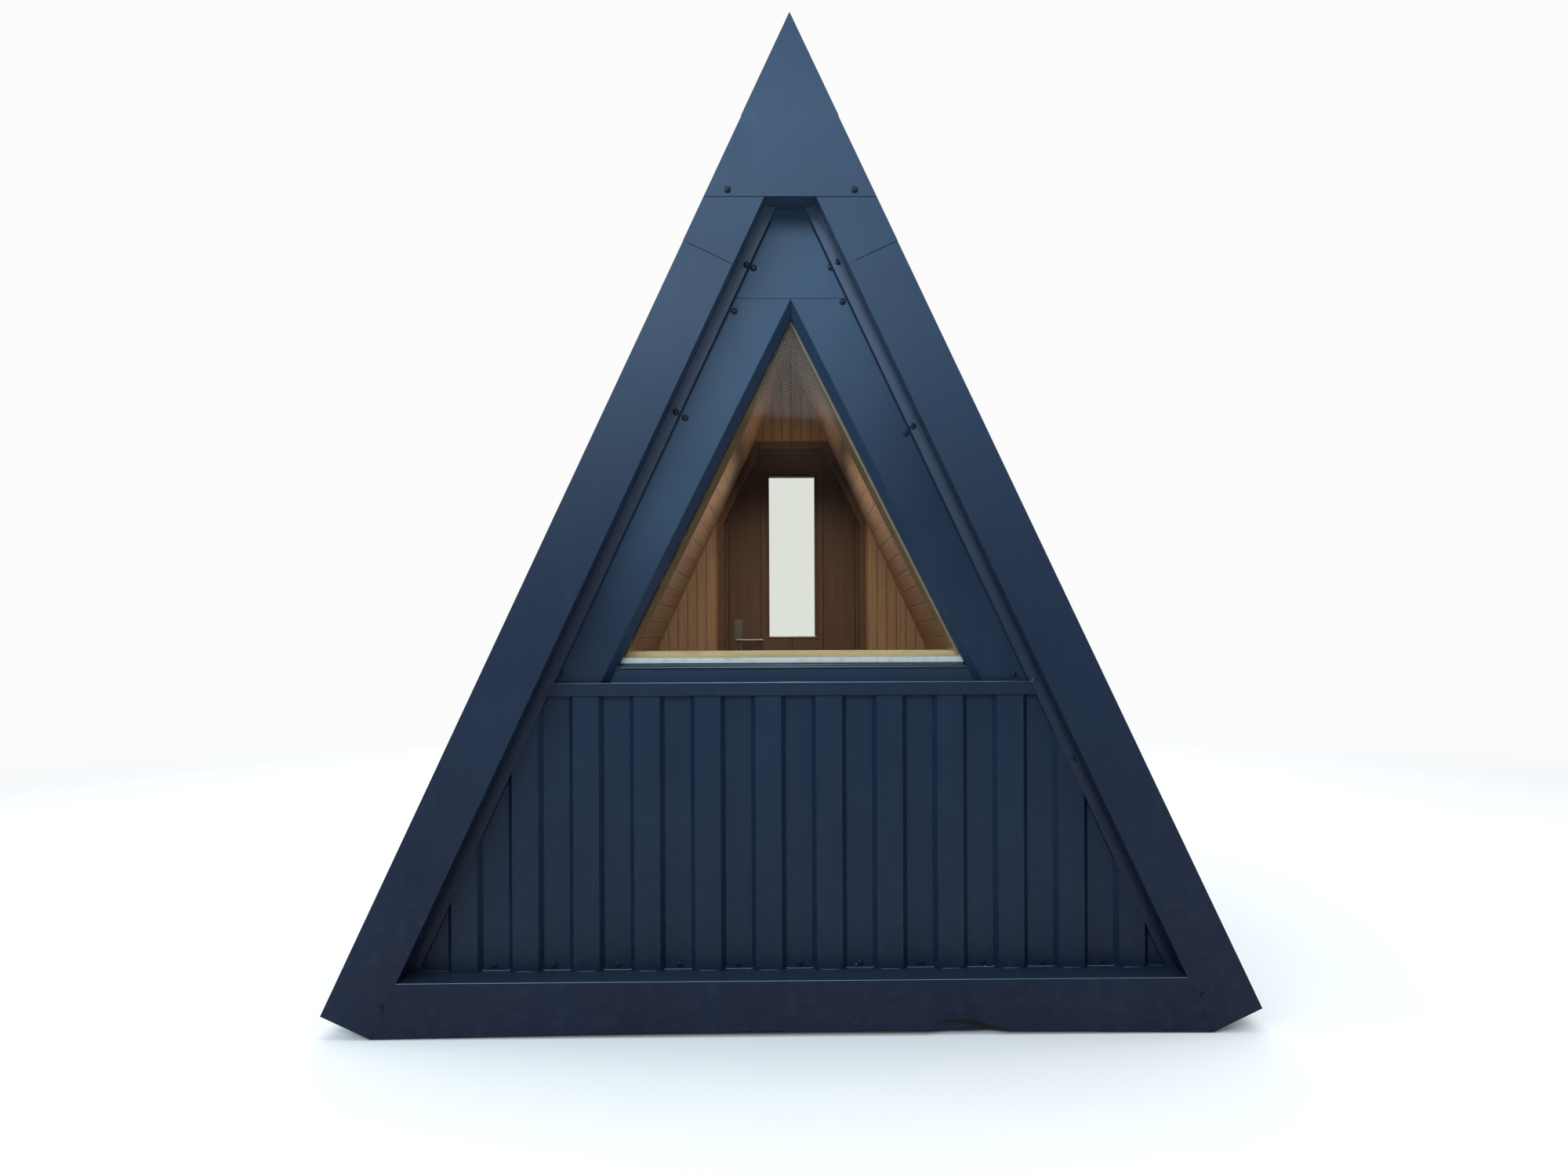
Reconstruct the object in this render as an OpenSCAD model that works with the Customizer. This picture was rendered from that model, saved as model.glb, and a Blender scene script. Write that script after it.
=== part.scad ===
// A-frame cabin clad in painted sheet metal, in millimetres.
// The origin is at the middle of the footprint, on the ground. Z is up. The window gable faces -Y
// and the door gable faces +Y. Each gable is drawn as (x, depth in from its barge face, height).

/* [Roof] */
// Length of one slope from the ridge to the eave
slope_len = 2818; // [2600:1:3200]
// Angle between a slope and the vertical
half_angle = 25.25; // [24:0.05:28]
// Length of the cabin over the barge faces
cabin_len = 2700; // [2300:10:4200]
// Thickness of the insulated roof core
roof_core_t = 109; // [90:1:130]
// Thickness of the inner lining boards
lining_t = 12; // [9:1:18]
// Thickness of the folded sheet metal
metal_t = 1; // [0.8:0.1:1.5]
// Width of one flange of the ridge cap
cap_flange = 290; // [150:5:340]
// How far the eave trim turns up under the lining
eave_return = 40; // [25:1:60]

/* [Ribbed sheet] */
// Distance from one rib to the next
rib_pitch = 160; // [120:1:220]
// Width of a rib's flat crest
rib_crest = 68; // [30:1:80]
// Width of a rib's sloping flank
rib_flank = 12; // [6:1:16]
// Height of a rib
rib_depth = 15; // [8:1:24]
// Distance of the first crest's middle from the cabin's middle
rib_shift = 16; // [0:1:60]

/* [Gable trims] */
// Depth of the overhang from the barge face to the ribs of the window gable
overhang = 100; // [70:1:160]
// Depth of the same overhang on the door gable
front_overhang = 48; // [46:1:49]
// How far the barge folds back over the roof
barge_return = 60; // [30:1:90]
// Length of the upper barge that laps over the lower one
barge_lap = 640; // [560:5:900]
// Height of the plate that closes the top of the gable
apex_plate_h = 467; // [420:1:520]
// How far the apex plate's face hangs below its fold
apex_drip = 10; // [4:1:20]
// Width of the strip that hides the ends of the wall sheets
strip_w = 20; // [12:1:40]
// Depth of the strip's leg along the overhang
strip_leg = 35; // [20:1:40]
// Seam left between neighbouring sheets
seam = 1; // [0.6:0.1:2]

/* [Base] */
// Height of the runners that the cabin rests on
skid_h = 45; // [38:1:75]
// Width of a runner
skid_w = 95; // [70:1:120]
// Distance between the middles of the runners
skid_spacing = 1500; // [1000:10:1700]
// Height of a floor joist
joist_h = 97; // [80:1:140]
// Thickness of a floor joist
joist_t = 45; // [38:1:60]
// Largest distance between joists
joist_spacing = 450; // [300:10:620]
// Thickness of the floor deck
deck_t = 22; // [18:1:30]
// Gap between the ground and the lowest sheet metal
rest_gap = 3; // [2:1:15]
// Height of the base flashing's lower edge
base_edge_z = 8; // [5:1:30]

/* [Gable walls] */
// Thickness of the wall core
wall_core_t = 180; // [140:1:200]
// Height of the waist flashing's top edge
waist_z = 898; // [700:1:930]
// Height of the waist flashing's face
waist_h = 31; // [20:1:60]
// How far the waist flashing stands out from the ribs
waist_nose = 4; // [2:0.5:15]
// How far the waist flashing's ledge falls to the front
ledge_fall = 2; // [1:0.5:3]

/* [Window] */
// Height of the window sill above the waist flashing
sill_rise = 47; // [38:1:120]
// Height of the flat sheet between the window's tip and the apex plate
top_plate_h = 227; // [200:1:400]
// Width of the flat sheet beside the window recess at the sill
window_margin = 142; // [130:1:260]
// Depth of the window recess at its apron, behind the flat sheets
bay_depth = 30; // [15:1:50]
// How far the recess's cheeks lean in over that depth
splay = 18; // [8:1:30]
// How far the glass lies behind the apron
glass_setback = 30; // [15:1:50]
// Thickness of the window's glazing unit
glass_t = 20; // [6:1:28]
// How far the sill rises back to the glass
sill_fall = 6; // [3:0.5:10]
// Height of the sill's turned down nose
sill_nose = 9; // [5:1:15]
// How far the sill's nose stands out from the apron
sill_reach = 4; // [2:0.5:10]
// Height of the pale bead below the glass
bead_h = 16; // [8:1:25]
// Width of the pale bead along the slopes
bead_w = 4; // [2:0.5:10]
// How much wider the bead is on the right, and narrower on the left
bead_shift = 2; // [0:0.5:3]
// Thickness of the bead
bead_t = 6; // [3:1:12]
// Height of the timber board below the glass, above the sill
board_rail = 38; // [26:1:60]
// Thickness of the timber boards along the slopes of the recess
board_stile = 24; // [20:1:40]
// How far the boards stand out beyond the casing's edges
board_quirk = 3; // [1:1:6]
// How far the window's timber casing laps over the lining
frame_lap = 45; // [20:1:60]
// Thickness of the window's timber casing
frame_t = 22; // [15:1:35]

/* [Door] */
// Width of the door opening between the walls
door_w = 690; // [640:1:820]
// Distance from the ridge down to the top of the door opening
door_drop = 681; // [676:1:800]
// Thickness of the door frame
jamb_t = 30; // [24:1:40]
// Running gap round the door leaf
door_gap = 7.5; // [7:0.5:10]
// Thickness of the door leaf
leaf_t = 44; // [38:1:54]
// Height of the threshold
threshold_h = 15; // [10:1:25]
// How far the threshold stands out in front of the leaf
threshold_nose = 10; // [5:1:30]
// Width of the stop behind the leaf
stop_w = 12; // [8:1:20]
// Depth of the stop
stop_len = 25; // [15:1:40]
// Width of the door's pane
pane_w = 240; // [160:1:260]
// Distance from the top of the door opening down to the pane
pane_drop = 131; // [131:1:400]
// Height of the pane's lower edge above the ground
pane_z = 1016; // [900:1:1050]
// Width of the raised moulding
moulding_w = 16; // [10:1:22]
// How far the moulding stands out from the leaf
moulding_t = 6; // [3:1:10]
// Width between the outer edges of the moulding
moulding_span = 336; // [300:1:338]
// Height of the moulding's top above the pane
moulding_rise = 38; // [25:1:38]
// Height of the moulding's foot above the leaf's foot
moulding_foot = 130; // [90:1:300]
// Thickness of the door's glazing
pane_t = 20; // [6:1:24]
// Height of the door handle above the ground
handle_z = 1010; // [850:1:1100]
// Radius of the door handle's lever
lever_r = 8; // [6:0.5:9]
// How far the middle of the lever stands out from the leaf
lever_reach = 34; // [28:1:36]
// Length of the door handle's lever
lever_len = 118; // [90:1:140]
// Distance from the leaf's closing edge to the handle's spindle
backset = 52; // [40:1:65]
// Width of the handle's back plate
handle_plate_w = 36; // [30:1:50]
// Thickness of the handle's back plate
handle_plate_t = 6; // [3:1:8]
// Height of the handle's back plate
handle_plate_h = 200; // [120:1:220]
// Height of the lowest hinge above the deck
hinge_foot = 170; // [120:1:300]
// Distance from the top hinge up to the leaf's raked corner
hinge_drop = 74; // [65:1:200]
// Height of one hinge
hinge_h = 100; // [75:1:130]
// Height of a hinge's middle knuckle
knuckle_h = 40; // [25:1:60]
// Radius of a hinge's knuckle
knuckle_r = 7; // [6:0.5:8]
// Radius of a hinge's pin
pin_r = 4; // [3:0.5:5]
// Clearance between a pin and its knuckle
pin_play = 0.08; // [0.05:0.01:0.15]
// Width of a hinge's plate on either side of its knuckle
hinge_plate_w = 30; // [20:1:38]
// Thickness of a hinge's plate
hinge_plate_t = 3; // [2:0.5:4]

/* [Hidden] */
$fn = 48;

// Colours
navy = [0.17, 0.23, 0.32];
navy_dark = [0.13, 0.18, 0.26];
pine = [0.72, 0.58, 0.38];
brown = [0.30, 0.19, 0.12];
plywood = [0.62, 0.47, 0.30];
core_grey = [0.70, 0.68, 0.62];
steel = [0.62, 0.63, 0.65];
bead_white = [0.82, 0.84, 0.84];
glass_tint = [0.60, 0.72, 0.74, 0.45];

// Clearance between pieces that seat on each other
seat = 0.3;
// More than any length in the cabin, for cutting tools
far = 6000;

// Roof build-up, measured square to a slope from the barge's outer face
crest_n = metal_t;
core_n = crest_n + rib_depth + metal_t;
lining_n = core_n + roof_core_t;
ceiling_n = lining_n + lining_t;
barge_w = ceiling_n + metal_t;
lap = metal_t / 2;
trim_n = barge_w + lap + seat;
sheet_n = trim_n + 2 * metal_t;
strip_n = trim_n + metal_t + strip_w;

// Heights
apex_z = rest_gap + slope_len * cos(half_angle) + barge_w * sin(half_angle);
deck_z0 = skid_h + joist_h;
deck_z1 = deck_z0 + deck_t;
ledge_z = deck_z0 + metal_t;
clad_z = ledge_z + seam;
plate_z = apex_z - apex_plate_h;
clad_top_z = waist_z - ledge_fall - metal_t - seat;
split_z = waist_z - 2 * metal_t;
bay_foot_z = waist_z + metal_t;
sill_z = waist_z + sill_rise;
soffit_z = plate_z + apex_drip;
tip_z = plate_z - top_plate_h;
door_top_z = apex_z - door_drop;
pane_top_z = door_top_z - pane_drop;

// Depth of a gable wall's core behind an overhang
function core_at(hang) = hang + rib_depth + metal_t;

// Depths in from a barge face, those of the walls at the window gable
flash_d = metal_t;
frame_d = 2 * metal_t + seat;
core_d = core_at(overhang);
plate_d = core_d - metal_t;
inner_d = core_d + wall_core_t;
room_d = inner_d + lining_t;
apron_d = plate_d + bay_depth;
glass_d = apron_d + glass_setback;
leaf_d = overhang + seat;
stop_d = leaf_d + leaf_t + door_gap;
// How far the door gable's wall lies further out
wall_step = overhang - front_overhang;

// Half the width between the two planes that lie n below the slopes, at height z
function half_width(z, n) = (apex_z - n / sin(half_angle) - z) * tan(half_angle);
// Height at which that half width is x
function height_at(x, n) = apex_z - n / sin(half_angle) - x / tan(half_angle);
// Half the width of the window recess at the sill, the lean of its sides, and their angle
window_half = half_width(sill_z, sheet_n) - window_margin;
lean = window_half / (tip_z - sill_z);
lean_angle = atan(lean);
// Outline of the window recess down to the height foot_z, its sides drawn in by side
function bay_outline(side, foot_z) =
    let (top = tip_z - side / sin(lean_angle), half = (top - foot_z) * lean)
    [[-half, foot_z], [half, foot_z], [0, top]];
// The same down to the sill, drawn in there by foot
function window_outline(side, foot) = bay_outline(side, sill_z + foot);
// Outline of the right half of the door opening, drawn in by d
function door_half(d) = [
    [door_w / 2 - d, deck_z1],
    [door_w / 2 - d, height_at(door_w / 2 - d, ceiling_n + d)],
    [half_width(door_top_z - d, ceiling_n + d), door_top_z - d]];
function mirrored(points) = [for (i = [len(points) - 1 : -1 : 0]) [-points[i].x, points[i].y]];
// Height of a ribbed sheet's front above its valleys, at distance u from a crest's middle
function rib_height(u) =
    let (v = abs(u - rib_pitch * round(u / rib_pitch)), past = v - rib_crest / 2)
    rib_depth * max(0, min(1, 1 - past / rib_flank));
// Places where a ribbed sheet bends, between a and b
function rib_bends(a, b) = [
    a,
    for (i = [ceil(a / rib_pitch) - 1 : floor(b / rib_pitch) + 1])
        for (e = [-rib_crest / 2 - rib_flank, -rib_crest / 2, rib_crest / 2, rib_crest / 2 + rib_flank])
            if (i * rib_pitch + e > a + 0.01 && i * rib_pitch + e < b - 0.01) i * rib_pitch + e,
    b];

// Extrudes a drawing of (x, z) from depth d0 to depth d1
module prism(d0, d1) {
    translate([0, d1, 0]) rotate([90, 0, 0]) linear_extrude(d1 - d0) children();
}

// Places a gable drawn as (x, depth, z)
module rear() {
    translate([0, -cabin_len / 2, 0]) children();
}
module front() {
    mirror([0, 1, 0]) rear() children();
}
// Places what belongs to the door gable's wall, drawn at the depths of the window gable's wall
module front_wall() {
    front() translate([0, -wall_step, 0]) children();
}

// Places a drawing of (distance down the slope, y, height above the slope) on the right slope
module right_slope() {
    translate([0, 0, apex_z]) rotate([0, 90 - half_angle, 0]) children();
}
module left_slope() {
    mirror([1, 0, 0]) right_slope() children();
}

// Cross-section of a ribbed sheet from a to b, its valleys' backs at height 0
module rib_section(a, b) {
    bends = rib_bends(a, b);
    polygon(concat(
        [for (u = bends) [u, rib_height(u) + metal_t]],
        [for (i = [len(bends) - 1 : -1 : 0]) [bends[i], rib_height(bends[i])]]));
}

// A layer of the right roof slope between n0 and n1, from the ridge mitre to the eave
module slope_layer(n0, n1, inset) {
    right_slope() prism(-cabin_len / 2 + inset, cabin_len / 2 - inset)
        polygon([
            [n0 / tan(half_angle) + seat, -n0], [slope_len - metal_t, -n0],
            [slope_len - metal_t, -n1], [n1 / tan(half_angle) + seat, -n1]]);
}

// Ribbed sheet of the right slope
module slope_sheet() {
    right_slope() translate([0, 0, -core_n]) intersection() {
        translate([crest_n / tan(half_angle) + seat, 0, 0]) rotate([0, 90, 0]) rotate([0, 0, 90])
            linear_extrude(slope_len - metal_t - crest_n / tan(half_angle) - seat)
                rib_section(-cabin_len / 2 + frame_d, cabin_len / 2 - frame_d);
        rotate([0, half_angle - 90, 0]) translate([core_n * cos(half_angle) + seat, -far / 2, -far])
            cube([far, far, 2 * far]);
    }
}

// Shape of a gable between two heights, inside the planes n below the slopes
module gable_band(z0, z1, n) {
    polygon([[-half_width(z0, n), z0], [half_width(z0, n), z0],
             [half_width(z1, n), z1], [-half_width(z1, n), z1]]);
}
module gable_top(z0, n) {
    polygon([[-half_width(z0, n), z0], [half_width(z0, n), z0], [0, height_at(0, n)]]);
}

// Extrudes a profile of (depth, z) level across the gable
module across(half) {
    translate([-half, 0, 0]) rotate([90, 0, 90]) linear_extrude(2 * half) children();
}

// One length of the right barge: face, fold over the roof and fold back under the overhang
module barge_length(s0, s1, proud, hang) {
    right_slope() {
        prism(-proud, metal_t - proud)
            polygon([[s0, proud], [s1, proud], [s1, -barge_w - proud], [s0, -barge_w - proud]]);
        translate([s0, -proud, -metal_t + proud]) cube([s1 - s0, barge_return, metal_t]);
    }
    intersection() {
        right_slope() translate([s0, -proud, -barge_w - proud])
            cube([s1 - s0, hang - seat, metal_t]);
        translate([0, -far / 2, ledge_z + seat]) cube(far);
    }
}

module right_barge(hang) {
    intersection() {
        union() {
            barge_length(0, slope_len, 0, hang);
            barge_length(0, barge_lap, lap, hang);
        }
        translate([seat, -far / 2, 0]) cube(far);
    }
}

// Plate over the tops of the barges, folded back level to the wall
module apex_plate(hang) {
    face_d = -lap - seat;
    back_d = core_at(hang) - metal_t - seat;
    prism(face_d - metal_t, face_d) gable_top(plate_z, 0);
    half = half_width(soffit_z, trim_n) - seat;
    translate([-half, face_d - metal_t, soffit_z]) cube([2 * half, back_d + metal_t - face_d, metal_t]);
}

// Angle trim along the right side of the gable wall
module right_corner_trim(hang) {
    intersection() {
        right_slope() {
            translate([0, hang - strip_leg, -trim_n - metal_t])
                cube([slope_len, strip_leg - seat, metal_t]);
            translate([0, hang - metal_t - seat, -strip_n])
                cube([slope_len, metal_t, strip_w + metal_t]);
        }
        translate([seat, -far / 2, ledge_z + seat]) cube([far, far, soffit_z - ledge_z - 2 * seat]);
    }
}

// Outline of a gable down to the square cut ends of its slopes
module gable_outline() {
    corner = [slope_len * sin(half_angle), apex_z - slope_len * cos(half_angle)];
    foot = corner - barge_w * [cos(half_angle), sin(half_angle)];
    polygon([[0, apex_z], [-corner.x, corner.y], [-foot.x, foot.y], foot, corner]);
}

// Flashing over the end of the base, folded back to the wall as a ledge
module base_flashing(hang) {
    prism(flash_d, flash_d + metal_t) intersection() {
        gable_band(base_edge_z, ledge_z, barge_w / 2);
        gable_outline();
    }
    prism(flash_d, core_at(hang) - seat) gable_band(deck_z0, ledge_z, ceiling_n + seat);
}

// Ribbed sheet on a gable wall, cut to the outline given
module wall_sheet() {
    shift = rib_shift - rib_pitch / 2;
    reach = half_width(0, 0);
    intersection() {
        translate([0, core_d, 0]) linear_extrude(apex_z) mirror([0, 1, 0])
            translate([shift, 0]) rib_section(-reach - shift, reach - shift);
        prism(0, core_d) children();
    }
}

// Base
module skids() {
    color(pine) for (side = [-1, 1])
        translate([side * skid_spacing / 2 - skid_w / 2, -cabin_len / 2 + frame_d, 0])
            cube([skid_w, cabin_len - 2 * frame_d, skid_h]);
}

module floor_joists() {
    run = cabin_len - 2 * frame_d - joist_t;
    bays = ceil(run / joist_spacing);
    color(pine) for (i = [0 : bays])
        translate([0, -cabin_len / 2 + frame_d + i * run / bays, 0]) prism(0, joist_t)
            gable_band(skid_h, deck_z0, ceiling_n);
}

module floor_deck() {
    color(plywood) rear() prism(core_d, cabin_len - core_at(front_overhang))
        gable_band(deck_z0, deck_z1, ceiling_n);
}

// Roof
module left_roof_panel() {
    color(core_grey) mirror([1, 0, 0]) slope_layer(core_n, lining_n, frame_d);
}
module right_roof_panel() {
    color(core_grey) slope_layer(core_n, lining_n, frame_d);
}
module left_roof_lining() {
    color(pine) mirror([1, 0, 0]) slope_layer(lining_n, ceiling_n, frame_d);
}
module right_roof_lining() {
    color(pine) slope_layer(lining_n, ceiling_n, frame_d);
}
module left_roof_sheet() {
    color(navy) mirror([1, 0, 0]) slope_sheet();
}
module right_roof_sheet() {
    color(navy) slope_sheet();
}

module ridge_cap() {
    lift = metal_t / 2 + seat;
    outer = lift + metal_t;
    drop = [cap_flange * sin(half_angle), cap_flange * cos(half_angle)];
    top = [apex_z + lift / sin(half_angle), apex_z + outer / sin(half_angle)];
    turn = [metal_t * cos(half_angle), metal_t * sin(half_angle)];
    color(navy) rear() prism(0, cabin_len) polygon([
        [0, top[1]],
        [drop.x + turn.x, top[0] - drop.y + turn.y], [drop.x, top[0] - drop.y],
        [0, top[0]],
        [-drop.x, top[0] - drop.y], [-drop.x - turn.x, top[0] - drop.y + turn.y]]);
}

module eave_trims() {
    color(navy_dark) for (side = [0, 1]) mirror([side, 0, 0]) right_slope()
        prism(-cabin_len / 2 + frame_d, cabin_len / 2 - frame_d) polygon([
            [slope_len - metal_t, -crest_n], [slope_len, -crest_n], [slope_len, -barge_w],
            [slope_len - eave_return, -barge_w], [slope_len - eave_return, -ceiling_n],
            [slope_len - metal_t, -ceiling_n]]);
}

// Rear gable wall
module rear_wall_lower() {
    color(core_grey) rear() prism(core_d, inner_d) gable_band(deck_z1, split_z, ceiling_n);
}
// Core below the sill, set back behind the window's apron and cheeks
module rear_wall_sill() {
    color(core_grey) rear() prism(glass_d, inner_d) intersection() {
        polygon(bay_outline(0, split_z));
        translate([-far / 2, 0]) square([far, sill_z - metal_t]);
    }
}
module rear_wall_side() {
    rear() prism(core_d, inner_d) polygon([
        bay_outline(0, split_z)[1], [half_width(split_z, ceiling_n), split_z],
        [half_width(tip_z, ceiling_n), tip_z], [0, tip_z]]);
}
module rear_wall_left() {
    color(core_grey) mirror([1, 0, 0]) rear_wall_side();
}
module rear_wall_right() {
    color(core_grey) rear_wall_side();
}
module rear_wall_top() {
    color(core_grey) rear() prism(core_d, inner_d) gable_top(tip_z, ceiling_n + seat);
}
module rear_gable_lining() {
    color(pine) rear() prism(inner_d, room_d) difference() {
        gable_top(deck_z1, ceiling_n);
        polygon(window_outline(0, 0));
    }
}
module rear_lower_cladding() {
    color(navy) rear() wall_sheet() gable_band(clad_z, clad_top_z, sheet_n);
}

// Flat sheets beside the window recess
module rear_window_plates() {
    color(navy) rear() prism(plate_d, core_d) for (side = [0, 1]) mirror([side, 0]) polygon([
        bay_outline(0, bay_foot_z)[1] + [seam, 0],
        [half_width(bay_foot_z, sheet_n), bay_foot_z],
        [half_width(tip_z - seam, sheet_n), tip_z - seam],
        [seam, tip_z - seam]]);
}
module rear_top_plate() {
    color(navy) rear() prism(plate_d, core_d) gable_band(tip_z, soffit_z - seam, sheet_n);
}
module waist_flashing() {
    nose_d = overhang - waist_nose;
    front_z = waist_z - ledge_fall;
    color(navy) rear() intersection() {
        across(half_width(0, 0)) polygon([
            [core_d, waist_z], [core_d, waist_z - metal_t], [nose_d + metal_t, front_z - metal_t],
            [nose_d + metal_t, waist_z - waist_h], [nose_d, waist_z - waist_h], [nose_d, front_z]]);
        prism(0, core_d) gable_top(0, strip_n + seat);
    }
}
module rear_base_flashing() {
    color(navy_dark) rear() base_flashing(overhang);
}
module rear_left_barge() {
    color(navy) rear() mirror([1, 0, 0]) right_barge(overhang);
}
module rear_right_barge() {
    color(navy) rear() right_barge(overhang);
}
module rear_apex_plate() {
    color(navy) rear() apex_plate(overhang);
}

// Places a drawing of (distance down the side, depth, height above the side) on the recess's right side
module right_side() {
    translate([0, 0, tip_z]) rotate([0, 90 - lean_angle, 0]) children();
}
// Extrudes a profile of (depth, height above the side) along the recess's right side
module along_side() {
    right_side() translate([-far / 2, 0, 0]) rotate([90, 0, 90]) linear_extrude(far) children();
}
module inside_right_cheek() {
    edge = metal_t + seat;
    along_side() polygon([
        [0, -edge], [plate_d, -edge], [apron_d, -edge - splay], [room_d, -edge - splay],
        [room_d, -far], [0, -far]]);
}
// Space between the cheeks of the recess
module between_cheeks() {
    intersection() {
        inside_right_cheek();
        mirror([1, 0, 0]) inside_right_cheek();
    }
}

// Window: cheeks splayed back to the apron's plane, then straight to the glass
module window_reveal() {
    color(navy_dark) rear() for (side = [0, 1]) mirror([side, 0, 0]) intersection() {
        along_side() polygon([
            [plate_d, 0], [apron_d, -splay], [glass_d - seat, -splay],
            [glass_d - seat, -splay - metal_t], [apron_d, -splay - metal_t], [plate_d, -metal_t]]);
        translate([seat / 2, 0, bay_foot_z]) cube(far);
    }
}
// Sheet below the sill with a ledge out to the waist flashing
module window_apron() {
    front_d = core_d + seat;
    rise_z = waist_z + ledge_fall;
    top_z = sill_z - 2 * metal_t;
    color(navy) rear() intersection() {
        across(window_half * 2) polygon([
            [front_d, waist_z], [apron_d, rise_z], [apron_d, top_z], [apron_d + metal_t, top_z],
            [apron_d + metal_t, rise_z - metal_t], [front_d, waist_z - metal_t]]);
        between_cheeks();
    }
}
module window_sill() {
    nose_d = apron_d - sill_reach;
    back_d = glass_d - seat;
    color(navy) rear() intersection() {
        across(window_half * 2) polygon([
            [nose_d, sill_z], [back_d, sill_z + sill_fall], [back_d, sill_z + sill_fall - metal_t],
            [nose_d + metal_t, sill_z - metal_t], [nose_d + metal_t, sill_z - sill_nose],
            [nose_d, sill_z - sill_nose]]);
        between_cheeks();
    }
}
module window_bead() {
    edge = splay + metal_t + seat;
    color(bead_white) rear() prism(glass_d - seat - bead_t, glass_d - seat) difference() {
        polygon(window_outline(edge, sill_fall + seat));
        translate([-bead_shift, 0]) polygon(window_outline(edge + bead_w, sill_fall + seat + bead_h));
    }
}
module window_glass() {
    color(glass_tint) rear() prism(glass_d, glass_d + glass_t)
        polygon(window_outline(splay / 2, ledge_fall));
}
// A rail and two stiles between two outlines of the window, with mitred corners
module boards(outer, inner) {
    up = seam * [-lean, 1];
    polygon([outer[0], outer[1], inner[1], inner[0]]);
    for (side = [0, 1]) mirror([side, 0]) intersection() {
        polygon([outer[1] + up, outer[2], inner[2], inner[1] + up]);
        translate([seat / 2, 0]) square(far);
    }
}
// Timber boards round the recess behind the glass, and the casing round them on the lining
module window_lining() {
    color(pine) rear() prism(glass_d + glass_t + seat, room_d)
        boards(window_outline(0, 0), window_outline(board_stile, board_rail));
}
module window_frame() {
    color(pine) rear() prism(room_d, room_d + frame_t) boards(
        window_outline(-frame_lap, -frame_lap),
        window_outline(board_stile - board_quirk, board_rail - board_quirk));
}

// Front gable wall
module front_wall_side() {
    front_wall() prism(core_d, inner_d) polygon([
        [door_w / 2, deck_z1], [half_width(deck_z1, ceiling_n), deck_z1],
        [door_w / 2, height_at(door_w / 2, ceiling_n)]]);
}
module front_wall_left() {
    color(core_grey) mirror([1, 0, 0]) front_wall_side();
}
module front_wall_right() {
    color(core_grey) front_wall_side();
}
module front_wall_top() {
    color(core_grey) front_wall() prism(core_d, inner_d) gable_top(door_top_z, ceiling_n + seat);
}
module front_gable_lining() {
    color(pine) front_wall() prism(inner_d, room_d) {
        gable_top(door_top_z, ceiling_n);
        for (side = [0, 1]) mirror([side, 0]) polygon([
            [door_w / 2, deck_z1], [half_width(deck_z1, ceiling_n), deck_z1],
            [door_w / 2, height_at(door_w / 2, ceiling_n)]]);
    }
}
module front_cladding() {
    color(navy) for (side = [0, 1]) mirror([side, 0, 0]) front_wall() wall_sheet() polygon([
        [door_w / 2 + seat, clad_z], [half_width(clad_z, sheet_n), clad_z],
        [door_w / 2 + seat, height_at(door_w / 2 + seat, sheet_n)]]);
}
module front_top_plate() {
    color(navy) front_wall() prism(plate_d, core_d)
        gable_band(door_top_z + seat, soffit_z - seam, sheet_n);
}
module front_base_flashing() {
    color(navy_dark) front() base_flashing(front_overhang);
}
module front_barges() {
    color(navy) for (side = [0, 1]) mirror([side, 0, 0]) front() right_barge(front_overhang);
}
module front_apex_plate() {
    color(navy) front() apex_plate(front_overhang);
}
module corner_trims() {
    color(navy) for (side = [0, 1]) mirror([side, 0, 0]) {
        rear() right_corner_trim(overhang);
        front() right_corner_trim(front_overhang);
    }
}

// Door frame, its outer face level with the ribs. One straight piece runs between corners i and
// i + 1, with a stop behind the leaf, and ends short by cut at its second corner.
module jamb(i, cut) {
    outer = door_half(0);
    inner = door_half(jamb_t);
    stop = door_half(jamb_t + stop_w);
    prism(leaf_d, room_d)
        polygon([outer[i], outer[i + 1] - cut, inner[i + 1] - cut, inner[i]]);
    prism(stop_d, stop_d + stop_len) intersection() {
        polygon([inner[i], inner[i + 1] - cut, stop[i + 1] - cut, stop[i]]);
        translate([0, deck_z1 + threshold_h + seat]) square(far);
    }
}
module door_posts() {
    color(brown) for (side = [0, 1]) mirror([side, 0, 0]) front_wall() intersection() {
        jamb(0, [0, 2 * seat]);
        translate([-far / 2, 0, deck_z1 + seat]) cube(far);
    }
}
// Cross piece of the door's head between the corners a and b and their mirror images
module head_piece(a, b) {
    polygon([a - [2 * seat, 0], b - [2 * seat, 0], [2 * seat - b.x, b.y], [2 * seat - a.x, a.y]]);
}
module door_head() {
    outer = door_half(0)[2];
    inner = door_half(jamb_t)[2];
    stop = door_half(jamb_t + stop_w)[2];
    color(brown) front_wall() {
        for (side = [0, 1]) mirror([side, 0, 0]) jamb(1, [0, 0]);
        prism(leaf_d, room_d) head_piece(outer, inner);
        prism(stop_d, stop_d + stop_len) head_piece(inner, stop);
    }
}
// Threshold board on the deck, with an apron in front of the deck's edge
module door_threshold() {
    half = door_w / 2 - jamb_t - seat;
    board_d = leaf_d - threshold_nose;
    color(brown) front_wall() {
        translate([-half, board_d, deck_z1]) cube([2 * half, room_d - board_d, threshold_h]);
        translate([-door_w / 2, leaf_d, ledge_z + seat])
            cube([door_w, core_d - seat - leaf_d, deck_z1 - ledge_z - seat]);
    }
}

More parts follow.
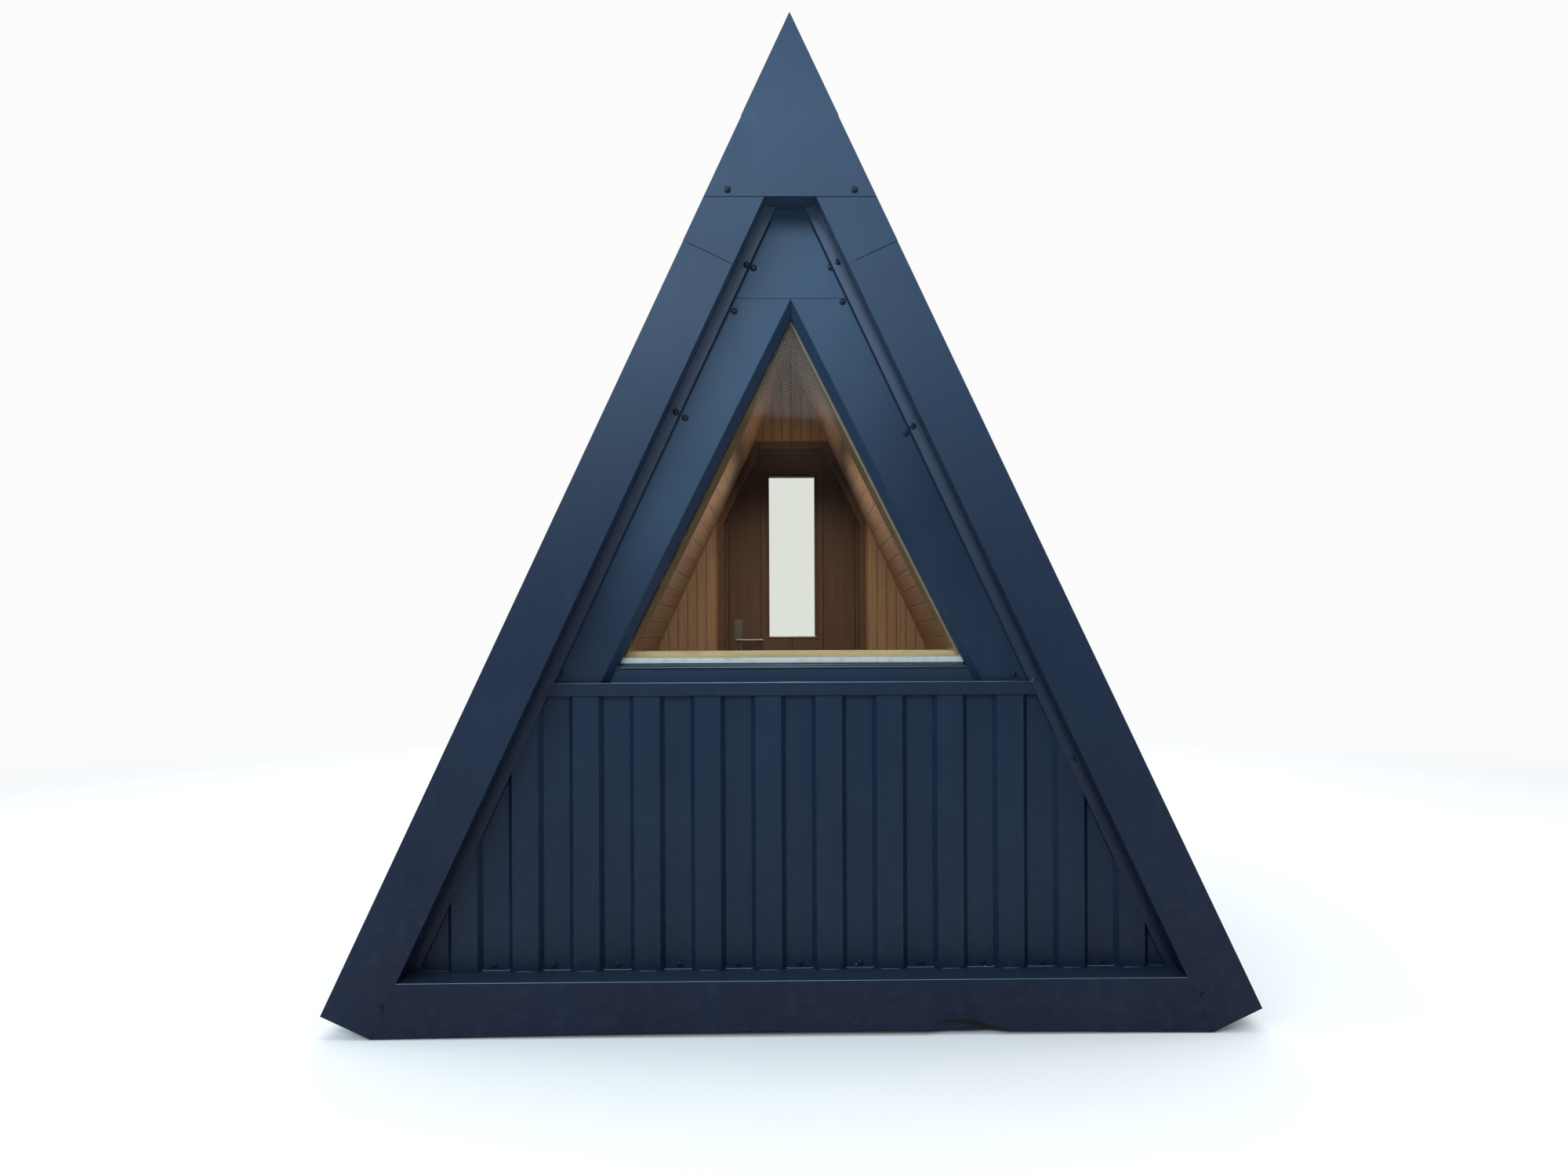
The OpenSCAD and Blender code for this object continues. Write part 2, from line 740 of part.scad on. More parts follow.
// Door leaf with a pane and a raised moulding on both faces
leaf_foot = deck_z1 + threshold_h + door_gap;
module leaf_outline() {
    right = door_half(jamb_t + door_gap);
    intersection() {
        polygon(concat(right, mirrored(right)));
        translate([-door_w, leaf_foot]) square([2 * door_w, door_top_z]);
    }
}
module door_leaf() {
    foot = leaf_foot + moulding_foot;
    rise = pane_top_z + moulding_rise - foot;
    color(brown) front_wall() difference() {
        union() {
            prism(leaf_d, leaf_d + leaf_t) leaf_outline();
            prism(leaf_d - moulding_t, leaf_d + leaf_t + moulding_t) difference() {
                translate([-moulding_span / 2, foot]) square([moulding_span, rise]);
                translate([-moulding_span / 2 + moulding_w, foot + moulding_w])
                    square([moulding_span - 2 * moulding_w, rise - 2 * moulding_w]);
            }
        }
        translate([-pane_w / 2, 0, pane_z]) cube([pane_w, far, pane_top_z - pane_z]);
    }
}
module door_glass() {
    color(glass_tint) front_wall()
        translate([-pane_w / 2 + seat, leaf_d + (leaf_t - pane_t) / 2, pane_z + seat])
            cube([pane_w - 2 * seat, pane_t, pane_top_z - pane_z - 2 * seat]);
}

// Lever handles on both faces, on back plates
module door_handle() {
    spindle_x = backset - (door_w / 2 - jamb_t - door_gap);
    color(steel) front_wall() for (side = [0, 1])
        translate([spindle_x, leaf_d + leaf_t / 2, handle_z]) mirror([0, side, 0])
            translate([0, -leaf_t / 2, 0]) {
                translate([-handle_plate_w / 2, -handle_plate_t, -handle_plate_h / 2])
                    cube([handle_plate_w, handle_plate_t, handle_plate_h]);
                rotate([90, 0, 0]) cylinder(r = lever_r, h = lever_reach);
                translate([-lever_r, -lever_reach, 0]) rotate([0, 90, 0])
                    cylinder(r = lever_r, h = lever_len + lever_r);
            }
}

// Hinges on the outer face: end knuckles and the pin on the frame, the middle knuckle on the leaf
hinge_x = door_w / 2 - jamb_t - door_gap / 2;
hinge_d = leaf_d - knuckle_r - seat;
hinge_low = deck_z1 + hinge_foot;
hinge_high = door_half(jamb_t + door_gap)[1].y - hinge_drop - hinge_h;
hinge_heights = [hinge_low, (hinge_low + hinge_high) / 2, hinge_high];
knuckle_low = (hinge_h - knuckle_h) / 2;
tab_w = knuckle_r + metal_t;

// Knuckle between the heights z0 and z1 with its tab towards side
module knuckle(z0, z1, side) {
    translate([0, 0, z0]) cylinder(r = knuckle_r, h = z1 - z0);
    translate([side < 0 ? -tab_w : 0, knuckle_r + seat - hinge_plate_t, z0])
        cube([tab_w, hinge_plate_t, z1 - z0]);
}
// Flat plate of a hinge towards side
module hinge_plate(side) {
    translate([side < 0 ? -hinge_plate_w : tab_w, knuckle_r + seat - hinge_plate_t, 0])
        cube([hinge_plate_w - tab_w, hinge_plate_t, hinge_h]);
}
module door_hinge_pins() {
    color(steel) front_wall() for (z = hinge_heights) translate([hinge_x, hinge_d, z]) {
        cylinder(r = pin_r, h = hinge_h);
        knuckle(0, knuckle_low, 1);
        knuckle(knuckle_low + knuckle_h, hinge_h, 1);
        hinge_plate(1);
    }
}
module door_hinge_straps() {
    color(steel) front_wall() for (z = hinge_heights) translate([hinge_x, hinge_d, z]) difference() {
        union() {
            knuckle(knuckle_low + seat, knuckle_low + knuckle_h - seat, -1);
            hinge_plate(-1);
        }
        cylinder(r = pin_r + pin_play, h = hinge_h);
    }
}

skids();
floor_joists();
floor_deck();
left_roof_panel();
right_roof_panel();
left_roof_sheet();
right_roof_sheet();
ridge_cap();
left_roof_lining();
right_roof_lining();
eave_trims();
rear_wall_lower();
rear_wall_sill();
rear_wall_left();
rear_wall_right();
rear_wall_top();
rear_gable_lining();
rear_lower_cladding();
rear_window_plates();
rear_top_plate();
waist_flashing();
rear_base_flashing();
rear_left_barge();
rear_right_barge();
rear_apex_plate();
window_reveal();
window_apron();
window_sill();
window_bead();
window_glass();
window_lining();
window_frame();
front_wall_left();
front_wall_right();
front_wall_top();
front_gable_lining();
front_cladding();
front_top_plate();
front_base_flashing();
front_barges();
front_apex_plate();
corner_trims();
door_posts();
door_head();
door_threshold();
door_hinge_pins();
door_leaf();
door_glass();
door_handle();
door_hinge_straps();
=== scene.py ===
"""Looks of the a-frame cabin: finishes for its solids, and the small pieces that sit on them.

Lengths are in metres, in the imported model's frame. The window gable faces -Y, the door gable +Y.
"""

import logging
import math
from dataclasses import dataclass, field
from enum import Enum

import bpy
import numpy as np
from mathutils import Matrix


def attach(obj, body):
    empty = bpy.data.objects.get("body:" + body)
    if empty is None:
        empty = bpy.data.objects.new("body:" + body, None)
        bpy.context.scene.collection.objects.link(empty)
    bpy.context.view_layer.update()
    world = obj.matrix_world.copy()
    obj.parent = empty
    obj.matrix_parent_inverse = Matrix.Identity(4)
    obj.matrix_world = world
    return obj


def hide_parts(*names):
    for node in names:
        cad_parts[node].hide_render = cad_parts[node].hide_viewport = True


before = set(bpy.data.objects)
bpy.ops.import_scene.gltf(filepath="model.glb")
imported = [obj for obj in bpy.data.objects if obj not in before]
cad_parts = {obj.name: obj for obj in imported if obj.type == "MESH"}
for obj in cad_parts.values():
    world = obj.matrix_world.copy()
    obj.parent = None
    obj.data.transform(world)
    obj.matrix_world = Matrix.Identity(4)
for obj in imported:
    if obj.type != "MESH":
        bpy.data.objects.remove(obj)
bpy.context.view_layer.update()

log = logging.getLogger("cabin")

Colour = tuple[float, float, float]
Vector3 = tuple[float, float, float]

HALF_ANGLE = math.radians(25.25)
SIN_A, COS_A = math.sin(HALF_ANGLE), math.cos(HALF_ANGLE)
APEX_Z = 2.6110
CABIN_LEN = 2.700
FRONT_STEP = 0.052


# Shader values as Python expressions


class Link:
    """A socket's value. Operators on it add Math nodes to its material."""

    def __init__(self, graph: "Graph", socket: bpy.types.NodeSocket) -> None:
        """Wraps a socket of a graph."""
        self.graph = graph
        self.socket = socket

    def math(self, operation: str, *others: "Link | float") -> "Link":
        """Adds a Math node.

        Args:
            operation: the node's operation.
            others: its further values.

        Returns:
            The result's link.
        """
        values = dict(enumerate((self, *others)))
        return self.graph.add("ShaderNodeMath", {"operation": operation}, values)[0]

    def __add__(self, other: "Link | float") -> "Link":
        """Sum."""
        return self.math("ADD", other)

    __radd__ = __add__

    def __mul__(self, other: "Link | float") -> "Link":
        """Product."""
        return self.math("MULTIPLY", other)

    __rmul__ = __mul__

    def __sub__(self, other: "Link | float") -> "Link":
        """Difference."""
        return self.math("SUBTRACT", other)

    def __rsub__(self, other: float) -> "Link":
        """Number less this value."""
        return self * -1.0 + other

    def __truediv__(self, other: "Link | float") -> "Link":
        """Quotient."""
        return self.math("DIVIDE", other)

    def __pow__(self, other: float) -> "Link":
        """Power."""
        return self.math("POWER", other)

    def __abs__(self) -> "Link":
        """Size without sign."""
        return self.math("ABSOLUTE")

    def floor(self) -> "Link":
        """Whole part."""
        return self.math("FLOOR")

    def fraction(self) -> "Link":
        """Part after the point."""
        return self.math("FRACT")

    def step(self, low: float, high: float) -> "Link":
        """Smooth step from 0 to 1.

        Args:
            low: value at which the step starts.
            high: value at which it ends.

        Returns:
            The step's link.
        """
        return self.graph.add(
            "ShaderNodeMapRange", {"interpolation_type": "SMOOTHSTEP"},
            {0: self, 1: low, 2: high, 3: 0.0, 4: 1.0},
        )[0]


Value = Link | float


class Graph:
    """The nodes of one material, ending in a Principled shader."""

    def __init__(self, name: str) -> None:
        """Makes an empty material with its shader and output.

        Args:
            name: the material's name.
        """
        self.material = bpy.data.materials.new(name)
        self.material.use_nodes = True
        self.tree = self.material.node_tree
        self.tree.nodes.clear()
        self.shader = self.tree.nodes.new("ShaderNodeBsdfPrincipled")
        self.output = self.tree.nodes.new("ShaderNodeOutputMaterial")
        self.tree.links.new(self.shader.outputs[0], self.output.inputs["Surface"])

    def put(self, socket: bpy.types.NodeSocket, value: object) -> None:
        """Links a value to a socket, or sets it there if it is a plain one.

        Args:
            socket: the socket that takes it.
            value: a link, a number, or a tuple of numbers.
        """
        if isinstance(value, Link):
            self.tree.links.new(value.socket, socket)
        else:
            socket.default_value = value

    def add(
        self, kind: str, settings: dict | None = None, inputs: dict | None = None,
    ) -> list[Link]:
        """Adds any node.

        Args:
            kind: the node's type.
            settings: its properties, which are set first.
            inputs: values or links by socket name or number.

        Returns:
            A link for each output.
        """
        node = self.tree.nodes.new(kind)
        for key, value in (settings or {}).items():
            setattr(node, key, value)
        for key, value in (inputs or {}).items():
            self.put(node.inputs[key], value)
        return [Link(self, s) for s in node.outputs]

    def place(self) -> tuple[Link, dict[str, Link]]:
        """Object coordinates, as one vector and as links X, Y and Z."""
        where = self.add("ShaderNodeTexCoord")[3]
        return where, dict(zip("XYZ", self.add("ShaderNodeSeparateXYZ", None, {0: where})))

    def vector(self, x: Value, y: Value, z: Value) -> Link:
        """Vector of three values."""
        return self.add("ShaderNodeCombineXYZ", None, {0: x, 1: y, 2: z})[0]

    def noise(
        self, where: Link, scale: float, detail: float = 3.0, rough: float = 0.5,
        twist: float = 0.0,
    ) -> Link:
        """Noise from about 0 to 1.

        Args:
            where: the place.
            scale: how many times finer than a metre it is.
            detail: number of finer layers.
            rough: strength of each finer layer.
            twist: how far it is distorted.

        Returns:
            The noise's link.
        """
        return self.add("ShaderNodeTexNoise", None, {
            "Vector": where, "Scale": scale, "Detail": detail, "Roughness": rough,
            "Distortion": twist,
        })[0]

    def chance(self, value: Link) -> Link:
        """One random number for each whole value."""
        return self.add("ShaderNodeTexWhiteNoise", {"noise_dimensions": "1D"}, {"W": value})[0]

    def mix(self, share: Value, low: "Link | Colour", high: "Link | Colour") -> Link:
        """Mixes two colours.

        Args:
            share: how much of the second colour there is.
            low: the first colour.
            high: the second colour.

        Returns:
            The mixed colour's link.
        """
        low, high = (v if isinstance(v, Link) else (*v, 1.0) for v in (low, high))
        return self.add("ShaderNodeMix", {"data_type": "RGBA"}, {0: share, 6: low, 7: high})[2]

    def bump(self, height: Link, distance: float) -> Link:
        """Normal of a surface raised by height times distance."""
        raised = {"Height": height, "Distance": distance, "Strength": 1.0}
        return self.add("ShaderNodeBump", None, raised)[0]

    def veil(self, share: Value, seen: Link, solid_first: bool = False) -> bpy.types.Material:
        """Mixes the shader with a clear one, as the material's surface.

        Args:
            share: how much of the second of the two there is.
            seen: the clear shader's link.
            solid_first: whether the Principled shader is the first of the two.

        Returns:
            The material.
        """
        two = (Link(self, self.shader.outputs[0]), seen)
        first, second = two if solid_first else two[::-1]
        both = self.add("ShaderNodeMixShader", None, {0: share, 1: first, 2: second})
        self.put(self.output.inputs["Surface"], both[0])
        return self.material

    def finish(self, **sockets: object) -> bpy.types.Material:
        """Sets the shader's sockets.

        Args:
            sockets: value or link of each socket, its name with underscores for spaces.

        Returns:
            The material.
        """
        for name, value in sockets.items():
            self.put(self.shader.inputs[name.replace("_", " ")], value)
        return self.material


# Finishes


@dataclass(frozen=True)
class PaintedSteel:
    """Navy coil-coated sheet, with slight waves, rain streaks and dust towards the ground."""

    name: str
    colour: Colour = (0.0150, 0.0400, 0.0850)
    foot: Colour = (0.0042, 0.0108, 0.0270)
    dust: Colour = (0.045, 0.052, 0.066)
    roughness: float = 0.40
    waves: float = 0.0035
    streaks: float = 0.35
    cloud: Colour = (0.0135, 0.0270, 0.0560)
    rise: tuple = (0.90, 2.50)
    lean: float = 0.0
    lean_z: tuple = (0.9, 1.4)
    dents: tuple = ()

    def paint(self) -> bpy.types.Material:
        """Makes the material. A dent at x, z is a smooth hollow with half axes a and b.

        The height at which the paint's tone is taken is z less lean times x, where the lean comes
        in from the lower to the upper height of lean_z. The tone runs from the darker foot up to
        the lighter colour, as painted shade low down and painted sky reflection higher up. A lean
        makes the left side lighter, as painted light from the left.

        Returns:
            The material.
        """
        g = Graph(self.name)
        where, at = g.place()
        tall = g.vector(at["X"] * 26.0, at["Y"] * 26.0, at["Z"] * 1.3)
        cloud = g.noise(where, 3.1, 4.0, 0.55)
        fine = g.noise(where, 38.0, 5.0, 0.62)
        streak = g.noise(tall, 1.0, 5.0, 0.6).step(0.50, 0.74)
        # Painted light: the darker foot is painted shade, the lighter colour higher up is painted
        # sky reflection, and the lean makes the left lighter as painted light.
        level = at["Z"] - at["X"] * self.lean * at["Z"].step(*self.lean_z)
        low = at["Z"].step(0.1, 1.0) * 0.18 + level.step(*self.rise) * 0.82
        base = g.mix(low, self.foot, self.colour)
        base = g.mix(cloud.step(0.3, 0.75) * 0.22, base, self.cloud)
        grime = at["Z"].step(0.95, 0.05) * fine.step(0.42, 0.8) * 0.14
        grime = grime + streak * self.streaks * 0.12
        base = g.mix(grime, base, self.dust)
        speck = g.noise(where, 210.0, 2.0, 0.5).step(0.74, 0.80) * 0.35
        base = g.mix(speck, base, self.dust)
        waves = g.noise(where, 2.3, 1.5, 0.35)
        ripple = g.noise(where, 9.0, 2.0, 0.4)
        height = waves + ripple * 0.16 + g.noise(where, 620.0, 1.0) * 0.002
        for x, z, a, b, depth in self.dents:
            across, up = (at["X"] - x) / a, (at["Z"] - z) / b
            hollow = (across * across + up * up).step(1.0, 0.0)
            height = height - hollow * at["Y"].step(-1.0, -1.1) * depth
        rough = cloud * 0.10 + streak * 0.08 + fine * 0.08 + (self.roughness - 0.10)
        return g.finish(
            Base_Color=base, Roughness=rough, Normal=g.bump(height, self.waves),
            Specular_IOR_Level=0.16, Coat_Weight=0.04, Coat_Roughness=0.22,
        )


@dataclass(frozen=True)
class Boards:
    """Planed boards laid side by side, with rings, fibres, knots and joints between them.

    With a shade, the boards take that darker colour above a height, as painted shade.
    """

    name: str
    light: Colour
    dark: Colour
    across: str
    run: str
    deep: str
    width: float
    joint: float = 0.004
    relief: float = 0.0018
    knots: float = 0.6
    roughness: float = 0.62
    coat: float = 0.0
    seam: float = 0.85
    shade: Colour | None = None
    shade_z: tuple = (0.976, 0.994)

    def paint(self) -> bpy.types.Material:
        """Makes the material.

        Returns:
            The material.
        """
        g = Graph(self.name)
        at = g.place()[1]
        across, run, deep = at[self.across], at[self.run], at[self.deep]
        board = (across / self.width).floor()
        middle = abs((across / self.width).fraction() - 0.5)
        part = self.joint / self.width
        gap = middle.step(0.5 - 1.6 * part, 0.5 - 0.35 * part)
        tone = g.chance(board)
        along = run + tone * 9.0
        rings = g.noise(g.vector(across * 17.0, along * 0.85, deep * 17.0), 1.0, 3.0, 0.5, 0.9)
        rings = (rings * 17.0).fraction().step(0.15, 0.95)
        grain = g.noise(g.vector(across * 70.0, along * 2.6, deep * 70.0), 1.0, 6.0, 0.62, 0.4)
        fibre = g.noise(g.vector(across * 520.0, along * 12.0, deep * 520.0), 1.0, 3.0, 0.6)
        cell = g.add(
            "ShaderNodeTexVoronoi", None,
            {"Vector": g.vector(across * 4.1, along * 2.2, tone), "Scale": 1.0, "Randomness": 1.0},
        )[0]
        knot = cell.step(0.085, 0.030) * self.knots
        shade = grain.step(0.30, 0.78) * 0.55 + rings * 0.30 + fibre * 0.12
        base = g.mix(shade, self.light, self.dark)
        base = g.mix(knot, base, tuple(c * 0.42 for c in self.dark))
        base = g.mix(tone * 0.30, base, self.dark)
        base = g.mix(gap * self.seam, base, tuple(c * 0.18 for c in self.dark))
        # Painted shade: the boards darken above shade_z.
        if self.shade:
            base = g.mix(at["Z"].step(*self.shade_z) * 0.85, base, self.shade)
        height = grain * 0.10 + fibre * 0.05 + rings * 0.05 - gap - knot * 0.1
        return g.finish(
            Base_Color=base, Roughness=grain * 0.16 + (self.roughness - 0.08),
            Normal=g.bump(height, self.relief), Coat_Weight=self.coat, Coat_Roughness=0.30,
        )


@dataclass(frozen=True)
class PressedCore:
    """Tarred fibreboard over the insulation, with flakes of two tones."""

    name: str
    light: Colour = (0.050, 0.045, 0.040)
    dark: Colour = (0.020, 0.018, 0.016)

    def paint(self) -> bpy.types.Material:
        """Makes the material.

        Returns:
            The material.
        """
        g = Graph(self.name)
        where = g.place()[0]
        flake = g.add("ShaderNodeTexVoronoi", None, {"Vector": where, "Scale": 95.0})
        fleck = g.noise(where, 260.0, 3.0)
        base = g.mix(flake[0].step(0.1, 0.7) * 0.6 + fleck * 0.3, self.light, self.dark)
        return g.finish(
            Base_Color=base, Roughness=fleck * 0.1 + 0.8, Normal=g.bump(flake[0] + fleck, 0.0006)
        )


@dataclass(frozen=True)
class ClearGlass:
    """Float glass that shows the room, with a soft film of dust."""

    name: str
    through: Colour = (0.93, 0.94, 0.92)
    light: Colour = (0.72, 0.74, 0.74)
    dark: Colour = (0.60, 0.58, 0.54)
    film: float = 0.007

    def paint(self) -> bpy.types.Material:
        """Makes the material. A share by the angle of view reflects, the rest is seen through.

        Returns:
            The material.
        """
        g = Graph(self.name)
        where, at = g.place()
        smear = g.noise(g.vector(at["X"] * 5.0, at["Y"], at["Z"] * 2.0), 1.0, 5.0, 0.6, 0.6)
        rim = g.add("ShaderNodeLayerWeight", None, {"Blend": 0.32})[0]
        share = rim * 0.08 + smear.step(0.35, 0.8) * self.film
        clear = g.add("ShaderNodeBsdfTransparent", None, {"Color": (*self.through, 1.0)})[0]
        speck = g.noise(where, 300.0, 2.0).step(0.7, 0.8)
        base = g.mix(speck, self.light, self.dark)
        g.finish(Base_Color=base, Metallic=1.0, Roughness=smear * 0.05 + 0.015)
        return g.veil(share, clear)


@dataclass(frozen=True)
class Satin:
    """Smooth satin surface with small marks: a painted bead, a rubber washer or plain metal."""

    name: str
    colour: Colour
    mark: Colour
    metal: float = 0.0
    roughness: float = 0.35
    brushed: float = 0.0
    relief: float = 0.0002
    shine: float = 0.5

    def paint(self) -> bpy.types.Material:
        """Makes the material. Brushed lines run level.

        Returns:
            The material.
        """
        g = Graph(self.name)
        where, at = g.place()
        wear = g.noise(where, 46.0, 5.0, 0.65)
        line = g.noise(g.vector(at["X"] * 30.0, at["Y"] * 30.0, at["Z"] * 2200.0), 1.0, 2.0)
        base = g.mix(wear.step(0.48, 0.72) * 0.55, self.colour, self.mark)
        rough = wear * 0.14 + line * self.brushed + (self.roughness - 0.07)
        return g.finish(
            Base_Color=base, Metallic=self.metal, Roughness=rough,
            Normal=g.bump(wear + line * self.brushed * 2.0, self.relief),
            Specular_IOR_Level=self.shine,
        )


@dataclass(frozen=True)
class PaleFloor:
    """Matt pale floor that fades away with distance from the cabin."""

    name: str
    light: Colour = (0.86, 0.86, 0.86)
    dark: Colour = (0.82, 0.82, 0.82)
    fade: tuple = (4.2, 9.0)

    def paint(self) -> bpy.types.Material:
        """Makes the material. The fade's distance is the root of x squared plus y squared.

        Returns:
            The material.
        """
        g = Graph(self.name)
        where, at = g.place()
        far = (at["X"] * at["X"] + at["Y"] * at["Y"]) ** 0.5
        cloud = g.noise(where, 3.0, 3.0)
        base = g.mix(cloud * 0.4, self.light, self.dark)
        g.finish(Base_Color=base, Roughness=0.9, Specular_IOR_Level=0.1)
        clear = g.add("ShaderNodeBsdfTransparent")[0]
        return g.veil(far.step(*self.fade), clear, solid_first=True)


@dataclass(frozen=True)
class GlazingBead:
    """Satin white bead along the sill. Its raked lengths are a dull tan, darker on the left as
    painted shade.
    """

    name: str
    sill: Colour = (0.540, 0.555, 0.540)
    rake: Colour = (0.170, 0.140, 0.095)
    left: Colour = (0.014, 0.012, 0.010)
    mark: Colour = (0.20, 0.22, 0.22)
    turn_z: tuple = (0.962, 0.972)

    def paint(self) -> bpy.types.Material:
        """Makes the material.

        Returns:
            The material.
        """
        g = Graph(self.name)
        where, at = g.place()
        wear = g.noise(where, 40.0, 5.0, 0.6)
        # Painted shade: the raked bead is darker on the left.
        rake = g.mix(at["X"].step(-0.02, 0.02), self.left, self.rake)
        base = g.mix(at["Z"].step(*self.turn_z), self.sill, rake)
        base = g.mix(wear.step(0.45, 0.75) * 0.4, base, self.mark)
        return g.finish(
            Base_Color=base, Roughness=wear * 0.15 + 0.3, Normal=g.bump(wear, 0.0003),
            Specular_IOR_Level=0.4,
        )


class Finish(Enum):
    """The finishes by name."""

    SHEET = PaintedSteel("navy_sheet")
    TRIM = PaintedSteel(
        "navy_trim", colour=(0.0290, 0.0570, 0.1030), foot=(0.0020, 0.0060, 0.0200), waves=0.0050,
        dents=((-0.116, 2.325, 0.036, 0.050, 0.14), (0.640, 0.095, 0.10, 0.03, 0.05)))
    # Painted light: the plates are lighter than the trim, more so at the top and towards the left,
    # standing in for light that the recessed plates miss.
    PLATE = PaintedSteel(
        "navy_plate", colour=(0.0350, 0.0731, 0.1293), foot=(0.0010, 0.0060, 0.0220),
        waves=0.0050, rise=(1.05, 2.00), lean=0.80)
    # Lighter than the sheet: real dust settled on the ledge, plus painted sky reflection on its
    # upward face.
    LEDGE = PaintedSteel(
        "navy_ledge", colour=(0.0200, 0.0400, 0.0750), foot=(0.0140, 0.0260, 0.0520),
        dust=(0.060, 0.070, 0.085), waves=0.0030)
    # Painted light: a lighter foot than the trim's, standing in for light on the lower window
    # cheeks, which lie in shade.
    REVEAL = PaintedSteel(
        "navy_reveal", colour=(0.0290, 0.0570, 0.1030), foot=(0.0105, 0.0220, 0.0480),
        waves=0.0050)
    # Painted light: far lighter than the trim, standing in for light on the corner strips, which
    # lie in the barges' shadow.
    STRIP = PaintedSteel(
        "navy_strip", colour=(0.0780, 0.1020, 0.1520), foot=(0.0105, 0.0130, 0.0310),
        waves=0.0040, rise=(0.85, 2.10))
    # Painted shade: near black, for the dent's downward-facing crescent.
    DENT_SHADE = PaintedSteel(
        "painted_dent_shade", colour=(0.0020, 0.0030, 0.0060), foot=(0.0006, 0.0010, 0.0024),
        dust=(0.006, 0.006, 0.007), waves=0.0010)
    HEAD = Satin(
        "screw_head", (0.003, 0.009, 0.022), (0.008, 0.015, 0.030), roughness=0.34, shine=0.20)
    RUBBER = Satin(
        "screw_washer", (0.0010, 0.0015, 0.004), (0.002, 0.003, 0.006), roughness=0.8, shine=0.0)
    CHIP = Satin("paint_chip", (0.42, 0.45, 0.46), (0.25, 0.28, 0.30), roughness=0.6)
    SEAM = Satin(
        "seam_shadow", (0.003, 0.006, 0.012), (0.005, 0.008, 0.015), roughness=0.7, shine=0.10)
    # Painted shadow: a dark navy strip for the shadow in the gap beside each corner strip.
    STRIP_SHADOW = Satin(
        "painted_strip_shadow", (0.012, 0.019, 0.042), (0.009, 0.014, 0.030), roughness=0.7, shine=0.10)
    # Painted highlight: light blue-grey for the light caught on folded edges.
    FOLD_HIGHLIGHT = Satin(
        "painted_fold_highlight", (0.110, 0.160, 0.215), (0.060, 0.100, 0.150), roughness=0.30, shine=0.50)
    GABLE_BOARDS = Boards(
        "pine_gable", (0.260, 0.170, 0.105), (0.150, 0.094, 0.056), "X", "Z", "Y", 0.044,
        joint=0.0026, seam=0.5, relief=0.0012)
    SLOPE_BOARDS = Boards(
        "pine_slope", (0.250, 0.162, 0.100), (0.145, 0.091, 0.054), "Z", "Y", "X", 0.068,
        joint=0.0022, seam=0.40, relief=0.0010)
    # Painted light and shade: very light pine below for daylight on the sill board, and a dark
    # shade above it.
    CASING = Boards(
        "pine_casing", (0.880, 0.650, 0.350), (0.660, 0.430, 0.200), "Z", "X", "Y", 9.0,
        knots=0.25, relief=0.0008, shade=(0.080, 0.050, 0.030))
    DECK = Boards(
        "deck_ply", (0.330, 0.225, 0.125), (0.190, 0.120, 0.062), "X", "Y", "Z", 0.40, knots=0.3)
    BEARER = Boards(
        "sawn_bearer", (0.070, 0.055, 0.040), (0.028, 0.021, 0.016), "Z", "Y", "X", 9.0,
        relief=0.0022, roughness=0.88)
    JOIST = Boards(
        "sawn_joist", (0.110, 0.085, 0.055), (0.060, 0.042, 0.026), "Z", "X", "Y", 9.0,
        relief=0.0022, roughness=0.82)
    DOOR = Boards(
        "brown_door", (0.084, 0.037, 0.0180), (0.036, 0.0155, 0.0080), "X", "Z", "Y", 0.150,
        joint=0.0022, relief=0.0008, knots=0.2, roughness=0.42, coat=0.25)
    CORE = PressedCore("pressed_core")
    GLASS = ClearGlass("clear_glass")
    BEAD = GlazingBead("white_bead")
    STEEL = Satin(
        "brushed_steel", (0.17, 0.167, 0.163), (0.10, 0.098, 0.095), metal=1.0, roughness=0.36,
        brushed=0.22)
    FLOOR = PaleFloor("pale_floor")


class Paints:
    """Makes each finish's material once."""

    def __init__(self) -> None:
        """Starts with none."""
        self.made: dict[Finish, bpy.types.Material] = {}

    def of(self, finish: Finish) -> bpy.types.Material:
        """The material of a finish.

        Args:
            finish: the finish.

        Returns:
            Its material.
        """
        if finish not in self.made:
            self.made[finish] = finish.value.paint()
        return self.made[finish]

    def dress(self, finish: Finish, *nodes: str) -> None:
        """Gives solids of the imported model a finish.

        Args:
            finish: the finish.
            nodes: names of the solids.
        """
        for name in nodes:
            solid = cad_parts[name]
            solid.data.materials.clear()
            solid.data.materials.append(self.of(finish))
            log.info("dressed %s with %s", name, finish.value.name)


# Surfaces


